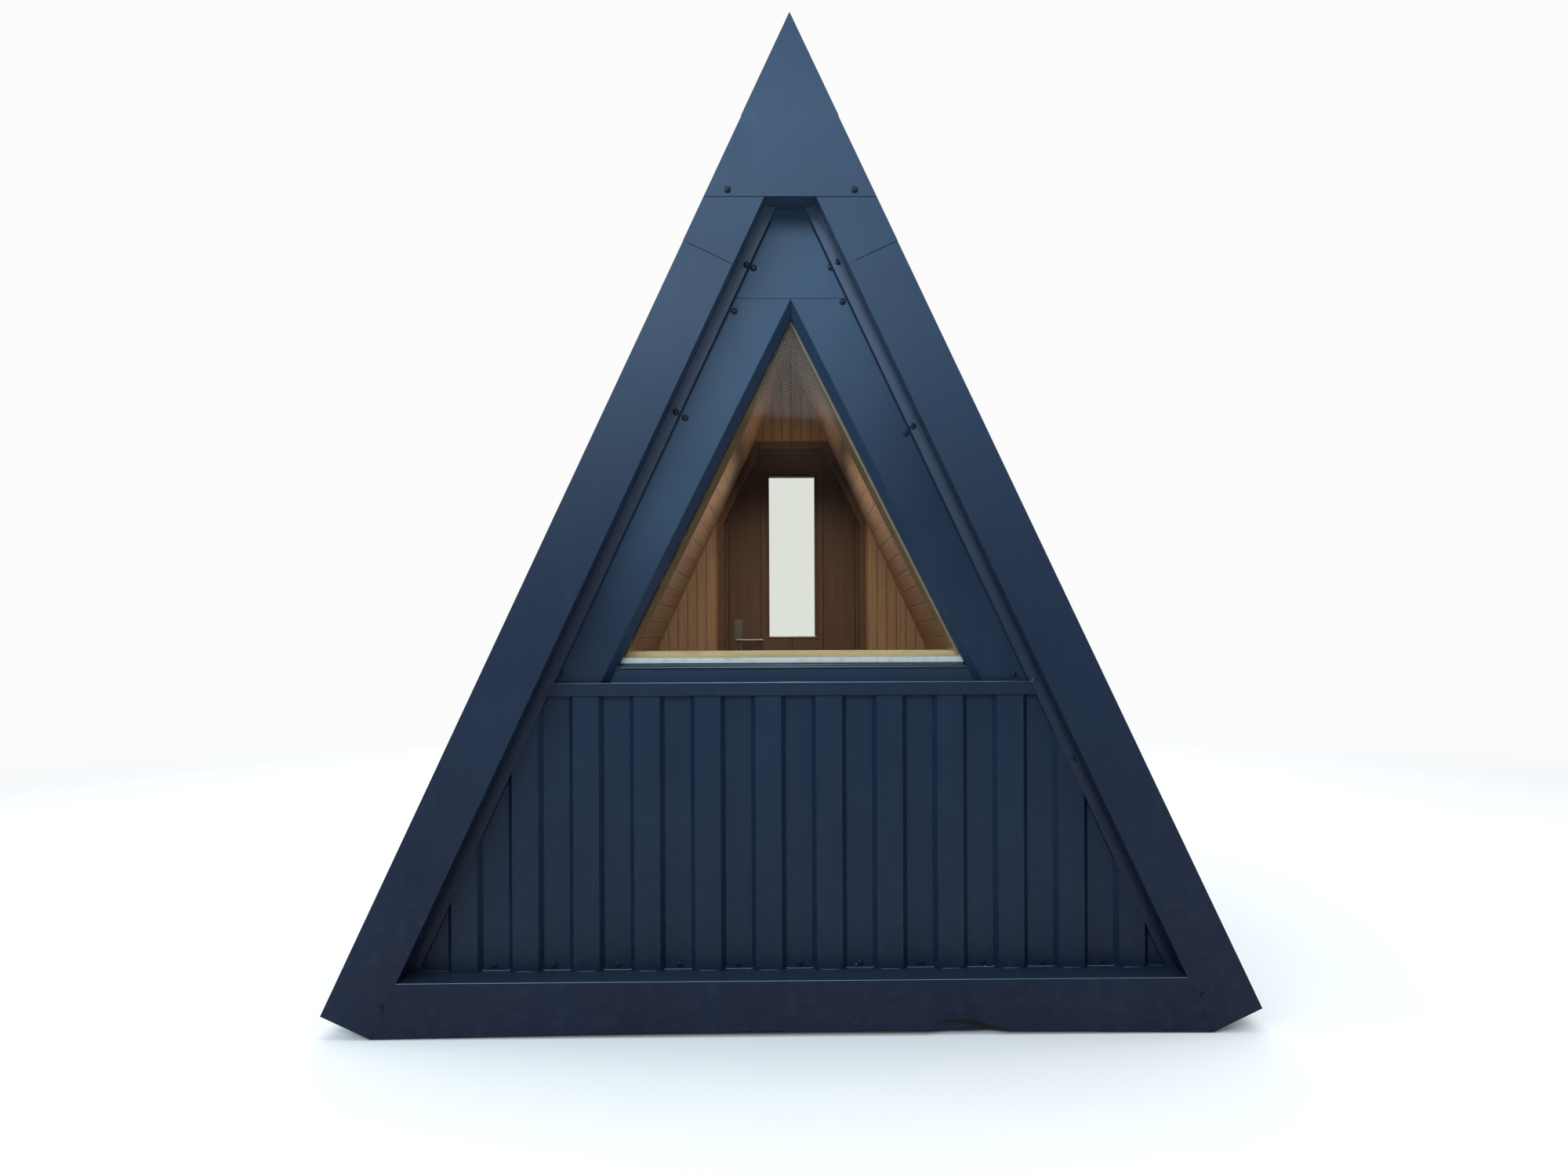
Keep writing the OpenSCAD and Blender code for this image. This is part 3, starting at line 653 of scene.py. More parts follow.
@dataclass
class Surface:
    """Points, four-cornered faces, and a number that picks each face's finish."""

    points: np.ndarray
    faces: np.ndarray
    picks: np.ndarray

    def placed(self, bases: np.ndarray, spots: np.ndarray) -> "Surface":
        """Copies of the surface: each point p goes to spot + basis p.

        Args:
            bases: (k, 3, 3) matrices, whose columns are the copies' axes.
            spots: (k, 3) places.

        Returns:
            All the copies as one surface.
        """
        moved = np.einsum("kij,nj->kni", bases, self.points) + spots[:, None, :]
        shift = np.arange(len(spots))[:, None, None] * len(self.points)
        faces = (self.faces[None] + shift).reshape(-1, 4)
        return Surface(moved.reshape(-1, 3), faces, np.tile(self.picks, len(spots)))

    def piece(
        self, name: str, body: str, paints: Paints, *finishes: Finish, smooth: bool = False,
    ) -> bpy.types.Object:
        """Makes the surface an object that rides on a body.

        Args:
            name: the object's name.
            body: the body that carries it.
            paints: the materials.
            finishes: the finish for each pick.
            smooth: whether its faces are shaded smooth.

        Returns:
            The object.
        """
        mesh = bpy.data.meshes.new(name)
        mesh.from_pydata(self.points.tolist(), [], self.faces.tolist())
        mesh.polygons.foreach_set("material_index", self.picks.astype(np.int32))
        mesh.polygons.foreach_set("use_smooth", np.full(len(self.faces), smooth))
        for finish in finishes:
            mesh.materials.append(paints.of(finish))
        mesh.validate()
        mesh.update()
        thing = bpy.data.objects.new(name, mesh)
        bpy.context.scene.collection.objects.link(thing)
        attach(thing, body)
        log.info("made %s with %d faces", name, len(self.faces))
        return thing


def grid_faces(rows: int, columns: int, wrap: bool) -> np.ndarray:
    """Faces of a grid of points stored row by row.

    Args:
        rows: number of rows of points.
        columns: number of points in a row.
        wrap: whether the last column meets the first.

    Returns:
        (faces, 4) numbers of the points.
    """
    across = columns if wrap else columns - 1
    r, c = np.meshgrid(np.arange(rows - 1), np.arange(across), indexing="ij")
    here, right = r * columns + c, r * columns + (c + 1) % columns
    return np.stack((here, right, right + columns, here + columns), -1).reshape(-1, 4)


def joined(*surfaces: Surface) -> Surface:
    """Several surfaces as one.

    Args:
        surfaces: the surfaces.

    Returns:
        The one surface, with their points in the order given.
    """
    starts = np.cumsum([0] + [len(s.points) for s in surfaces[:-1]])
    return Surface(
        np.concatenate([s.points for s in surfaces]),
        np.concatenate([s.faces + n for s, n in zip(surfaces, starts)]),
        np.concatenate([s.picks for s in surfaces]),
    )


def turned(radii: np.ndarray, heights: np.ndarray, picks: np.ndarray) -> Surface:
    """A turned shape: the point of ring i at angle j is (r cos a, r sin a, h).

    Args:
        radii: (rings, sides) radius at each ring and angle. The first and last are nearly 0.
        heights: height of each ring.
        picks: finish of the band above each ring.

    Returns:
        The surface, its rings wound so that it faces outwards while heights rise.
    """
    rings, sides = radii.shape
    angle = 2 * np.pi * np.arange(sides) / sides
    points = np.stack(
        (radii * np.cos(angle), radii * np.sin(angle), np.repeat(heights[:, None], sides, 1)), -1
    )
    return Surface(points.reshape(-1, 3), grid_faces(rings, sides, True), np.repeat(picks, sides))


def sweep(profiles: np.ndarray, path: np.ndarray, up: Vector3) -> Surface:
    """A closed profile carried along a path, with flat ends: point = path + side p0 + up p1.

    Args:
        profiles: (n, 2) closed outline of an even number of points, drawn counter-clockwise, or
            (stations, n, 2) with one outline for each point of the path.
        path: (stations, 3) points.
        up: the profile's second axis, square to the path.

    Returns:
        The closed surface.
    """
    top = np.array(up, float)
    way = np.gradient(path, axis=0)
    side = np.cross(top, way / np.linalg.norm(way, axis=1, keepdims=True))[:, None, :]
    outlines = np.broadcast_to(profiles, (len(path), *profiles.shape[-2:]))
    points = path[:, None, :] + outlines[..., :1] * side + outlines[..., 1:] * top
    count, last = outlines.shape[1], outlines.shape[1] * (len(path) - 1)
    n = np.arange((count - 2) // 2)
    cap = np.stack((n, n + 1, count - 2 - n, count - 1 - n), -1)
    faces = np.concatenate([grid_faces(len(path), count, True), cap[:, ::-1], cap + last])
    return Surface(points.reshape(-1, 3), faces, np.zeros(len(faces), int))


def bar(profile: np.ndarray, start: Vector3, end: Vector3, up: Vector3) -> Surface:
    """A straight length of a profile from start to end."""
    return sweep(profile, np.array([start, end], float), up)


def circle(radius: float, sides: int = 8) -> np.ndarray:
    """Outline of a round wire."""
    angle = 2 * np.pi * np.arange(sides) / sides
    return radius * np.stack((np.cos(angle), np.sin(angle)), -1)


def shell(outer: np.ndarray, inner: np.ndarray) -> Surface:
    """A closed thin sheet between two grids of points, joined along their four edges.

    Args:
        outer: (rows, columns, 3) points of the outer face, seen with rows upwards and columns to
            the right.
        inner: the same for the inner face.

    Returns:
        The surface.
    """
    rows, columns = outer.shape[:2]
    count = rows * columns
    face = grid_faces(rows, columns, False)
    n = np.arange(count).reshape(rows, columns)
    rim = np.concatenate([n[0, :-1], n[:-1, -1], n[-1, :0:-1], n[:0:-1, 0]])
    ahead = np.roll(rim, -1)
    border = np.stack((rim, rim + count, ahead + count, ahead), -1)
    faces = np.concatenate([face, (face + count)[:, ::-1], border])
    points = np.concatenate([outer.reshape(-1, 3), inner.reshape(-1, 3)])
    return Surface(points, faces, np.zeros(len(faces), int))


def rounded_box(width: float, height: float, edge: float, steps: int = 3) -> np.ndarray:
    """Outline of a rectangle with round corners, counter-clockwise: corner + edge (cos a, sin a).

    Args:
        width: of the rectangle.
        height: of the rectangle.
        edge: radius of its corners.
        steps: points in each corner.

    Returns:
        (4 steps, 2) points.
    """
    angle = np.linspace(0, np.pi / 2, steps)
    quarters = np.arange(4)[:, None] * np.pi / 2 + angle
    corners = np.array([[1, 1], [-1, 1], [-1, -1], [1, -1]])
    centres = corners * (width / 2 - edge, height / 2 - edge)
    arc = edge * np.stack((np.cos(quarters), np.sin(quarters)), -1)
    return (centres[:, None, :] + arc).reshape(-1, 2)


@dataclass(frozen=True)
class Side:
    """A flat side of the cabin: spots on it are (across, up, out)."""

    origin: Vector3
    across: Vector3
    up: Vector3

    def basis(self) -> np.ndarray:
        """Matrix with the columns across, up and out."""
        across, up = np.array(self.across), np.array(self.up)
        return np.stack((across, up, np.cross(across, up)), 1)

    def set(self, shape: Surface, spots: np.ndarray, seed: int) -> Surface:
        """Copies of a shape on this side, each turned by a random angle about its own axis.

        Args:
            shape: the shape, which stands on its z = 0 plane.
            spots: (k, 3) spots as (across, up, out).
            seed: of the random angles.

        Returns:
            The copies as one surface.
        """
        turn = np.random.default_rng(seed).uniform(0, 2 * np.pi, len(spots))
        zero, one = np.zeros_like(turn), np.ones_like(turn)
        spin = np.stack(
            (np.stack((np.cos(turn), -np.sin(turn), zero), -1),
             np.stack((np.sin(turn), np.cos(turn), zero), -1),
             np.stack((zero, zero, one), -1)), 1)
        bases = self.basis() @ spin
        return shape.placed(bases, np.array(self.origin) + spots @ self.basis().T)


REAR = Side((0, -CABIN_LEN / 2, 0), (1, 0, 0), (0, 0, 1))
FRONT = Side((0, CABIN_LEN / 2, 0), (-1, 0, 0), (0, 0, 1))
RIGHT_SLOPE = Side((0, 0, APEX_Z), (0, 1, 0), (-SIN_A, 0, COS_A))
LEFT_SLOPE = Side((0, 0, APEX_Z), (0, -1, 0), (SIN_A, 0, COS_A))


def slope_point(side: int, down: float, out: float, y: float) -> Vector3:
    """Point at a distance down a slope and out from it. Side is 1 on the right, -1 on the left."""
    return (side * (down * SIN_A + out * COS_A), y, APEX_Z - down * COS_A + out * SIN_A)


@dataclass(frozen=True)
class RoofingScrew:
    """A hexagon head with its flange, on a rubber washer."""

    washer_r: float = 0.0086
    washer_h: float = 0.0024
    flange_r: float = 0.0064
    head_r: float = 0.0046
    head_h: float = 0.0052

    def shape(self, sides: int) -> Surface:
        """The screw on z = 0.

        A ring's radius is constant on the washer and flange. On the head it is r / cos(d), where d
        is the angle from the middle of the nearest of six flats.

        Args:
            sides: number of angles, a multiple of six.

        Returns:
            The screw's surface. Pick 0 is the washer, pick 1 the head.
        """
        angle = 2 * np.pi * np.arange(sides) / sides
        flat = (angle + np.pi / 6) % (np.pi / 3) - np.pi / 6
        hexagon = math.cos(math.pi / 6) / np.cos(flat)
        circular = np.ones(sides)
        base, top = self.washer_h, self.washer_h + self.head_h
        rings = [
            (0.0001, 0.0, circular), (self.washer_r, 0.0, circular),
            (self.washer_r * 0.96, base, circular), (self.flange_r, base + 0.0005, circular),
            (self.head_r * 1.04, base + 0.0010, hexagon), (self.head_r, top - 0.0005, hexagon),
            (self.head_r * 0.86, top, hexagon), (0.0001, top, circular),
        ]
        radii = np.stack([r * form for r, _, form in rings])
        heights = np.array([h for _, h, _ in rings])
        return turned(radii, heights, np.array([0, 0, 1, 1, 1, 1, 1]))


@dataclass(frozen=True)
class Rivet:
    """A low dome: radius r cos t and height h sin t."""

    radius: float = 0.0034
    height: float = 0.0014

    def shape(self, sides: int = 12) -> Surface:
        """The rivet on z = 0.

        Args:
            sides: number of angles.

        Returns:
            The rivet's surface, all of it pick 1.
        """
        t = np.linspace(0, np.pi / 2, 4)
        radii = np.concatenate([[0.0001], self.radius * np.cos(t)]).clip(0.0001)
        heights = np.concatenate([[0.0], self.height * np.sin(t)])
        return turned(np.repeat(radii[:, None], sides, 1), heights, np.ones(len(t), int))


# Sub-assemblies


@dataclass
class Gable:
    """What both gables share. Spots are (across, up), and depths are behind the barge's face."""

    paints: Paints
    end: str
    out: int
    valley_limit: float
    barge_laps: tuple
    strip_shadow_run: tuple
    step: float = 0.0
    plate_d: float = 0.1150
    strip_d: float = 0.0987
    crest_d: float = 0.1000
    apex_d: float = -0.0018
    valley_z: float = 0.1580
    valley_pitch: float = 0.160
    valley_start: float = 0.016
    shadow_line: tuple = (0.0013, 0.0008, 0.0003)
    apex_lap: tuple = (0.219, 2.1432)
    apex_lap_out: float = 0.0004
    barge_lap_down: float = 0.6410
    barge_lap_out: float = 0.0002
    strip_shadow: tuple = (0.0070, 0.0140, 0.0010)
    strip_shadow_n: float = 0.1603
    strip_shadow_out: float = 0.0070
    screw_sides: int = 24
    screw: RoofingScrew = field(default_factory=RoofingScrew)

    @property
    def face_y(self) -> float:
        """Place of the barge's face."""
        return self.out * CABIN_LEN / 2

    @property
    def plate_y(self) -> float:
        """Place of the plates' face."""
        return self.face_y + self.out * self.step - self.out * self.plate_d

    def valley_middles(self) -> np.ndarray:
        """Middles of the cladding's valleys."""
        middles = np.arange(-6, 6) * self.valley_pitch + self.valley_start
        return middles[abs(middles) < self.valley_limit]

    def level(self, profile: np.ndarray, left: float, right: float, y: float, z: float) -> Surface:
        """A level length of a profile across the gable."""
        return bar(profile, (left, y, z), (right, y, z), (0, 0, 1))

    def lay_shadow_lines(self, laps: tuple) -> None:
        """Lays dark lines in the laps of the sheets and along the corner strips' inner edges, as
        painted shadow.

        Args:
            laps: level laps below the apex plate's, as (left, right, y, z).
        """
        half, z = self.apex_lap
        y = self.face_y + self.out * self.apex_lap_out
        # Painted shadow: dark lines in the laps, and dark strips beside the corner strips.
        shadow_line, strip_shadow = rounded_box(*self.shadow_line), rounded_box(*self.strip_shadow)
        lines = [self.level(shadow_line, *lap) for lap in ((-half, half, y, z), *laps)]
        strip_shadows = []
        for side, *ends in self.barge_laps:
            y = self.face_y + self.out * self.barge_lap_out
            a, b = (slope_point(side, self.barge_lap_down, n, y) for n in ends)
            lines.append(bar(shadow_line, a, b, (0, self.out, 0)))
            y = self.plate_y + self.out * self.strip_shadow_out
            a, b = (slope_point(side, t, -self.strip_shadow_n, y) for t in self.strip_shadow_run)
            strip_shadows.append(bar(strip_shadow, a, b, (0, self.out, 0)))
        joined(*lines).piece(f"{self.end}_gable_seams", "cabin", self.paints, Finish.SEAM)
        joined(*strip_shadows).piece(
            f"{self.end}_gable_closures", "cabin", self.paints, Finish.STRIP_SHADOW)


@dataclass
class WindowGable(Gable):
    """The photographed gable."""

    end: str = "rear"
    out: int = -1
    valley_limit: float = 0.92
    barge_laps: tuple = ((-1, -0.0120, -0.1385), (1, -0.0020, -0.1200))
    strip_shadow_run: tuple = (0.470, 1.815)
    apex_screws: tuple = ((-0.1599, 2.1603), (0.1639, 2.1603))
    strip_screws: tuple = (
        (-0.1157, 2.0003), (0.1260, 2.0086), (-0.3028, 1.6125), (0.3202, 1.5748))
    plate_screws: tuple = (
        (-0.0976, 1.9972), (0.1059, 1.9993), (0.1371, 1.9079), (-0.1495, 1.8830),
        (-0.2803, 1.6006), (0.3032, 1.5591), (-0.6022, 0.9257), (0.5877, 0.9184))
    crest_screws: tuple = ((0.7440, 0.6967),)
    valley_x: tuple = (
        -0.7891, -0.6334, -0.4631, -0.3011, -0.1454, 0.0166, 0.1765, 0.3385, 0.5005, 0.6603,
        0.8182)
    base_screws: tuple = ((-1.0500, 0.0830), (1.0500, 0.0970))
    base_out: float = 0.0005
    base_rivets: tuple = ((1.0520, 0.0650), (-1.0430, 0.0560))
    chips: tuple = ((-0.3738, 0.8385, 0.1150), (0.1660, 0.1530, 0.1150), (0.5050, 0.1490, 0.0990))
    chip: Rivet = Rivet(0.0014, 0.0003)
    tip_lap: tuple = (-0.140, 0.126, 1.9167)
    waist_lap: tuple = (-0.652, 0.640, 0.8652)
    waist_lap_d: float = 0.0962
    lip: tuple = (0.0010, 0.0060, 0.0004)
    lip_run: tuple = (-0.6290, 0.6300)
    lip_d: float = 0.0957
    lip_z: float = 0.8980
    fold_runs: tuple = (
        (-0.6290, -0.4770, 0.9008, 0.0957, 0.0008), (-0.4770, 0.4860, 0.9010, 0.0957, 0.0014),
        (0.4860, 0.6300, 0.9008, 0.0957, 0.0008), (-0.4570, 0.4650, 0.9405, 0.1400, 0.0018))
    curl: tuple = (
        (0.6290, 0.9008), (0.6320, 0.9014), (0.6345, 0.9035), (0.6352, 0.9065), (0.6340, 0.9090))
    curl_d: float = 0.0955
    wire_r: float = 0.0009
    foot_x: tuple = (-0.0390, -0.0355, -0.0290, 0.0290, 0.0355, 0.0390)
    foot_z: tuple = (0.0034, 0.0012, 0.0, 0.0, 0.0012, 0.0034)
    foot_low: float = 0.1443
    foot_d: float = 0.1128
    crest_run: tuple = (0.056, 0.104)
    crest_low: float = 0.1442
    crest_edge_d: float = 0.0990
    crest_r: float = 0.0006

    def build(self) -> None:
        """Dresses the sheets and sets the screws, rivets, seams and folds."""
        p = self.paints
        p.dress(Finish.SHEET, "rear_lower_cladding")
        p.dress(Finish.TRIM, "waist_flashing", "rear_left_barge", "rear_right_barge",
                "rear_apex_plate", "window_sill")
        p.dress(Finish.REVEAL, "window_reveal", "window_apron")
        p.dress(Finish.PLATE, "rear_window_plates", "rear_top_plate")
        DentedFlashing(p).build()
        p.dress(Finish.CORE, "rear_wall_lower", "rear_wall_sill", "rear_wall_left",
                "rear_wall_right", "rear_wall_top")
        p.dress(Finish.GABLE_BOARDS, "rear_gable_lining")
        p.dress(Finish.CASING, "window_lining", "window_frame")
        p.dress(Finish.BEAD, "window_bead")
        p.dress(Finish.GLASS, "window_glass")
        valleys = [(x, self.valley_z) for x in self.valley_x]
        groups = (
            (self.apex_screws, -self.apex_d), (self.strip_screws, -self.strip_d),
            (self.plate_screws, -self.plate_d), (self.crest_screws, -self.crest_d),
            (valleys, -self.plate_d), (self.base_screws, self.base_out))
        spots = [(x, z, out) for group, out in groups for x, z in group]
        screws = REAR.set(self.screw.shape(self.screw_sides), np.array(spots), 11)
        screws.piece("rear_gable_screws", "cabin", p, Finish.RUBBER, Finish.HEAD)
        spots = [(x, z, 0.0) for x, z in self.base_rivets]
        rivets = REAR.set(Rivet().shape(), np.array(spots), 12)
        rivets.piece("rear_gable_rivets", "cabin", p, Finish.RUBBER, Finish.HEAD, smooth=True)
        (left, right, tip), (start, stop, waist) = self.tip_lap, self.waist_lap
        self.lay_shadow_lines((
            (left, right, self.plate_y, tip),
            (start, stop, self.face_y + self.waist_lap_d, waist)))
        self.folds()

    def folds(self) -> None:
        """Lays thin round wires as edges with a painted highlight, the lip on the waist flashing
        and the chips.

        The wires run along the flashings, and along the foot of each valley and crest.
        """
        y, out = self.face_y, (0, self.out, 0)
        edges = [self.level(circle(r, 10), x0, x1, y + d, z) for x0, x1, z, d, r in self.fold_runs]
        curl = np.array([(x, y + self.curl_d, z) for x, z in self.curl])
        edges.append(sweep(circle(self.wire_r), curl, out))
        across, lift = np.array(self.foot_x), np.array(self.foot_z)
        for x in self.valley_middles():
            depth = np.full(len(across), y + self.foot_d)
            foot = np.stack((x + across, depth, self.foot_low + lift), -1)
            edges.append(sweep(circle(self.wire_r), foot, out))
            start, stop = (
                (x + step, y + self.crest_edge_d, self.crest_low) for step in self.crest_run)
            edges.append(bar(circle(self.crest_r), start, stop, out))
        joined(*edges).piece("rear_gable_folds", "cabin", self.paints, Finish.FOLD_HIGHLIGHT, smooth=True)
        lip = self.level(rounded_box(*self.lip), *self.lip_run, y + self.lip_d, self.lip_z)
        lip.piece("waist_lip", "cabin", self.paints, Finish.TRIM)
        chips = np.array([(x, z, -d) for x, z, d in self.chips])
        REAR.set(self.chip.shape(8), chips, 14).piece(
            "rear_gable_chips", "cabin", self.paints, Finish.CHIP, Finish.CHIP, smooth=True)


@dataclass
class DentedFlashing:
    """The flashing over the end of the base. Its foot bows up and has a dent on the right."""

    paints: Paints
    top_z: float = 0.1430
    face_y: float = -1.3490
    wall_y: float = -1.2343
    sheet: float = 0.0007
    end_x: float = 1.0764
    end_z: float = 0.0031
    end_rake: float = 2.1197
    slope_z: float = 2.4481
    foot_z: float = 0.0158
    foot_bow: float = 0.0110
    curl_x: float = 0.495
    curl_w: float = 0.028
    curl_h: float = 0.0045
    dent_x: tuple = (0.340, 0.384, 0.410, 0.432, 0.455, 0.476, 0.516, 0.546)
    dent_top: tuple = (0.0310, 0.0405, 0.0436, 0.0442, 0.0420, 0.0366, 0.0245, 0.0140)
    dent_low: tuple = (0.0310, 0.0335, 0.0322, 0.0292, 0.0245, 0.0170, 0.0100, 0.0100)
    dent_depth: float = 0.0110
    dent_foot: float = 0.008
    dent_fade: float = 0.05
    ledge_half: float = 1.0112
    ledge_wave: float = 0.0005
    fold_run: tuple = (-1.045, 1.046)
    fold_r: float = 0.0007

    def half(self, z: np.ndarray) -> np.ndarray:
        """Half width at a height: the lesser of the square cut end and the slope's middle line."""
        end = self.end_x + (z - self.end_z) * self.end_rake
        return np.minimum(end, (self.slope_z - z) * SIN_A / COS_A)

    def foot(self, x: np.ndarray) -> np.ndarray:
        """Height of the lower edge: a shallow parabola, lifted where the dent curls up."""
        curl = np.exp(-(((x - self.curl_x) / self.curl_w) ** 2))
        return self.foot_z - self.foot_bow * x * x + self.curl_h * curl

    def dent(self, x: np.ndarray, z: np.ndarray) -> np.ndarray:
        """Depth of the dent: the greatest depth times the root of the way from its top to its foot.

        Args:
            x: places across.
            z: heights.

        Returns:
            How far each point is pressed in, which fades out towards both ends of the dent.
        """
        top = np.interp(x, self.dent_x, self.dent_top)
        left, right = (x - self.dent_x[0]) / self.dent_fade, (self.dent_x[-1] - x) / self.dent_fade
        span = np.clip(left, 0, 1) * np.clip(right, 0, 1)
        way = np.clip((top - z) / (top - self.dent_foot), 0, 1)
        return self.dent_depth * span * np.sqrt(way)

    def dent_shaded(self, x: np.ndarray, z: np.ndarray) -> np.ndarray:
        """Whether a point lies in the dark crescent of painted shade between the dent's top and its
        inner curve.
        """
        top, low = (np.interp(x, self.dent_x, edge) for edge in (self.dent_top, self.dent_low))
        return (x > self.dent_x[0]) & (x < self.dent_x[-1]) & (z < top) & (z > low)

    def face(self) -> Surface:
        """The upright face: x = half(z) u, z from the foot to the ledge by v, y by the dent.

        Columns lie closest over the dent, and rows at the foot.

        Returns:
            The face, its dark crescent of painted shade as pick 3 and the rest as pick 0.
        """
        u = np.concatenate(
            [np.linspace(-1, 0.30, 60), np.linspace(0.304, 0.54, 110), np.linspace(0.55, 1, 24)])
        v = np.linspace(0, 1, 60) ** 1.5
        uu, vv = np.meshgrid(u, v)
        z = np.zeros_like(uu)
        for _ in range(3):
            x = self.half(z) * uu
            z = self.foot(x) + (self.top_z - self.foot(x)) * vv
        x = self.half(z) * uu
        outer = np.stack((x, self.face_y + self.dent(x, z), z), -1)
        face = shell(outer, outer + np.array([0, self.sheet, 0]))
        count = (len(v) - 1) * (len(u) - 1)
        middle = outer.reshape(-1, 3)[face.faces[:count]].mean(1)
        # Pick 3, the dark crescent in the dent, is painted shade.
        face.picks[:count] = np.where(self.dent_shaded(middle[:, 0], middle[:, 2]), 3, 0)
        return face

    def ledge(self) -> Surface:
        """The ledge, pick 1: slightly waved, by (1 + sin 9x) sin(pi d) at the share d of its depth.

        Returns:
            The ledge.
        """
        across, depth = np.meshgrid(
            np.linspace(-1, 1, 60) * self.ledge_half, np.linspace(0, 1, 8))
        height = self.top_z + self.ledge_wave * np.sin(np.pi * depth) * (1 + np.sin(across * 9.0))
        level = np.stack(
            (across, self.face_y + (self.wall_y - self.face_y) * depth, height), -1)
        ledge = shell(level, level - np.array([0, 0, self.sheet]))
        ledge.picks[:] = 1
        return ledge

    def build(self) -> None:
        """Joins the face, the ledge and the fold between them, lighter as a painted highlight, in
        place of the solid.
        """
        start, stop = ((x, self.face_y, self.top_z) for x in self.fold_run)
        fold = bar(circle(self.fold_r), start, stop, (0, -1, 0))
        fold.picks[:] = 2
        piece = joined(self.face(), self.ledge(), fold).piece(
            "rear_base_flashing_dented", "cabin", self.paints, Finish.TRIM, Finish.LEDGE,
            Finish.FOLD_HIGHLIGHT, Finish.DENT_SHADE)
        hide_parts("rear_base_flashing")


@dataclass
class DoorGable(Gable):
    """The far gable with the door. Its wall stands further out than the window gable's."""

    end: str = "front"
    out: int = 1
    valley_limit: float = 0.95
    barge_laps: tuple = ((-1, -0.0040, -0.1300), (1, -0.0040, -0.1300))
    strip_shadow_run: tuple = (0.4700, 0.7560)
    step: float = FRONT_STEP
    apex_screws: tuple = ((-0.1620, 2.1603), (0.1620, 2.1603))
    pair_z: tuple = (1.9990, 1.5700, 1.1400, 0.6900, 0.2700)
    pair_n: float = 0.1510
    door_clear: float = 0.3600
    plate_lap: tuple = (0.160, 1.9300)
    fold_half: float = 1.045
    fold_z: float = 0.1430
    fold_d: float = 0.0010
    fold_r: float = 0.0007

    def build(self) -> None:
        """Dresses the sheets, and sets screws in pairs down the strips and in the valleys."""
        p = self.paints
        p.dress(Finish.SHEET, "front_cladding")
        p.dress(Finish.TRIM, "front_base_flashing", "front_barges", "front_apex_plate")
        p.dress(Finish.PLATE, "front_top_plate")
        p.dress(Finish.STRIP, "corner_trims")
        p.dress(Finish.CORE, "front_wall_left", "front_wall_right", "front_wall_top")
        p.dress(Finish.GABLE_BOARDS, "front_gable_lining")
        strip_x = [(APEX_Z - self.pair_n / SIN_A - z) * SIN_A / COS_A for z in self.pair_z]
        strip, plate = self.step - self.strip_d, self.step - self.plate_d
        spots = [(x, z, -self.apex_d) for x, z in self.apex_screws]
        spots += [(s * x, z, strip) for s in (-1, 1) for x, z in zip(strip_x, self.pair_z)]
        spots += [(-x, self.valley_z, plate) for x in self.valley_middles()
                  if abs(x) > self.door_clear]
        screws = FRONT.set(self.screw.shape(self.screw_sides), np.array(spots), 13)
        screws.piece("front_gable_screws", "cabin", p, Finish.RUBBER, Finish.HEAD)
        half, z = self.plate_lap
        self.lay_shadow_lines(((-half, half, self.plate_y, z),))
        # The fold wire's light colour is a painted highlight.
        start, stop = (
            (x, self.face_y - self.fold_d, self.fold_z) for x in (-self.fold_half, self.fold_half))
        fold = bar(circle(self.fold_r), start, stop, (0, 1, 0))
        fold.piece("front_ledge_fold", "cabin", p, Finish.FOLD_HIGHLIGHT, smooth=True)


@dataclass
class Roof:
    """The two slopes with their screws in the valleys, and the ridge cap."""

    paints: Paints
    pitch: float = 0.160
    valley_n: float = 0.0160
    rows: tuple = (0.420, 1.010, 1.600, 2.190, 2.720)
    cap_row: float = 0.262
    cap_n: float = -0.0018
    end_clear: float = 1.320
    screw_sides: int = 12
    screw: RoofingScrew = field(default_factory=RoofingScrew)

    def build(self) -> None:
        """Dresses the roof. Each valley has a screw in each row, each crest one through the cap."""
        p = self.paints
        p.dress(Finish.SHEET, "left_roof_sheet", "right_roof_sheet")
        p.dress(Finish.TRIM, "ridge_cap", "eave_trims")
        p.dress(Finish.CORE, "left_roof_panel", "right_roof_panel")
        p.dress(Finish.SLOPE_BOARDS, "left_roof_lining", "right_roof_lining")
        valleys = (np.arange(-9, 9) + 0.5) * self.pitch
        valleys = valleys[abs(valleys) < self.end_clear]
        crests = np.arange(-8, 9) * self.pitch
        y, s = np.meshgrid(valleys, self.rows, indexing="ij")
        in_valleys = np.stack((y.ravel(), -s.ravel(), np.full(y.size, -self.valley_n)), -1)
        row, out = np.full(crests.size, -self.cap_row), np.full(crests.size, -self.cap_n)
        spots = np.concatenate([in_valleys, np.stack((crests, row, out), -1)])
        for name, side, seed in (("right", RIGHT_SLOPE, 21), ("left", LEFT_SLOPE, 22)):
            screws = side.set(self.screw.shape(self.screw_sides), spots, seed)
            screws.piece(f"{name}_roof_screws", "cabin", p, Finish.RUBBER, Finish.HEAD)


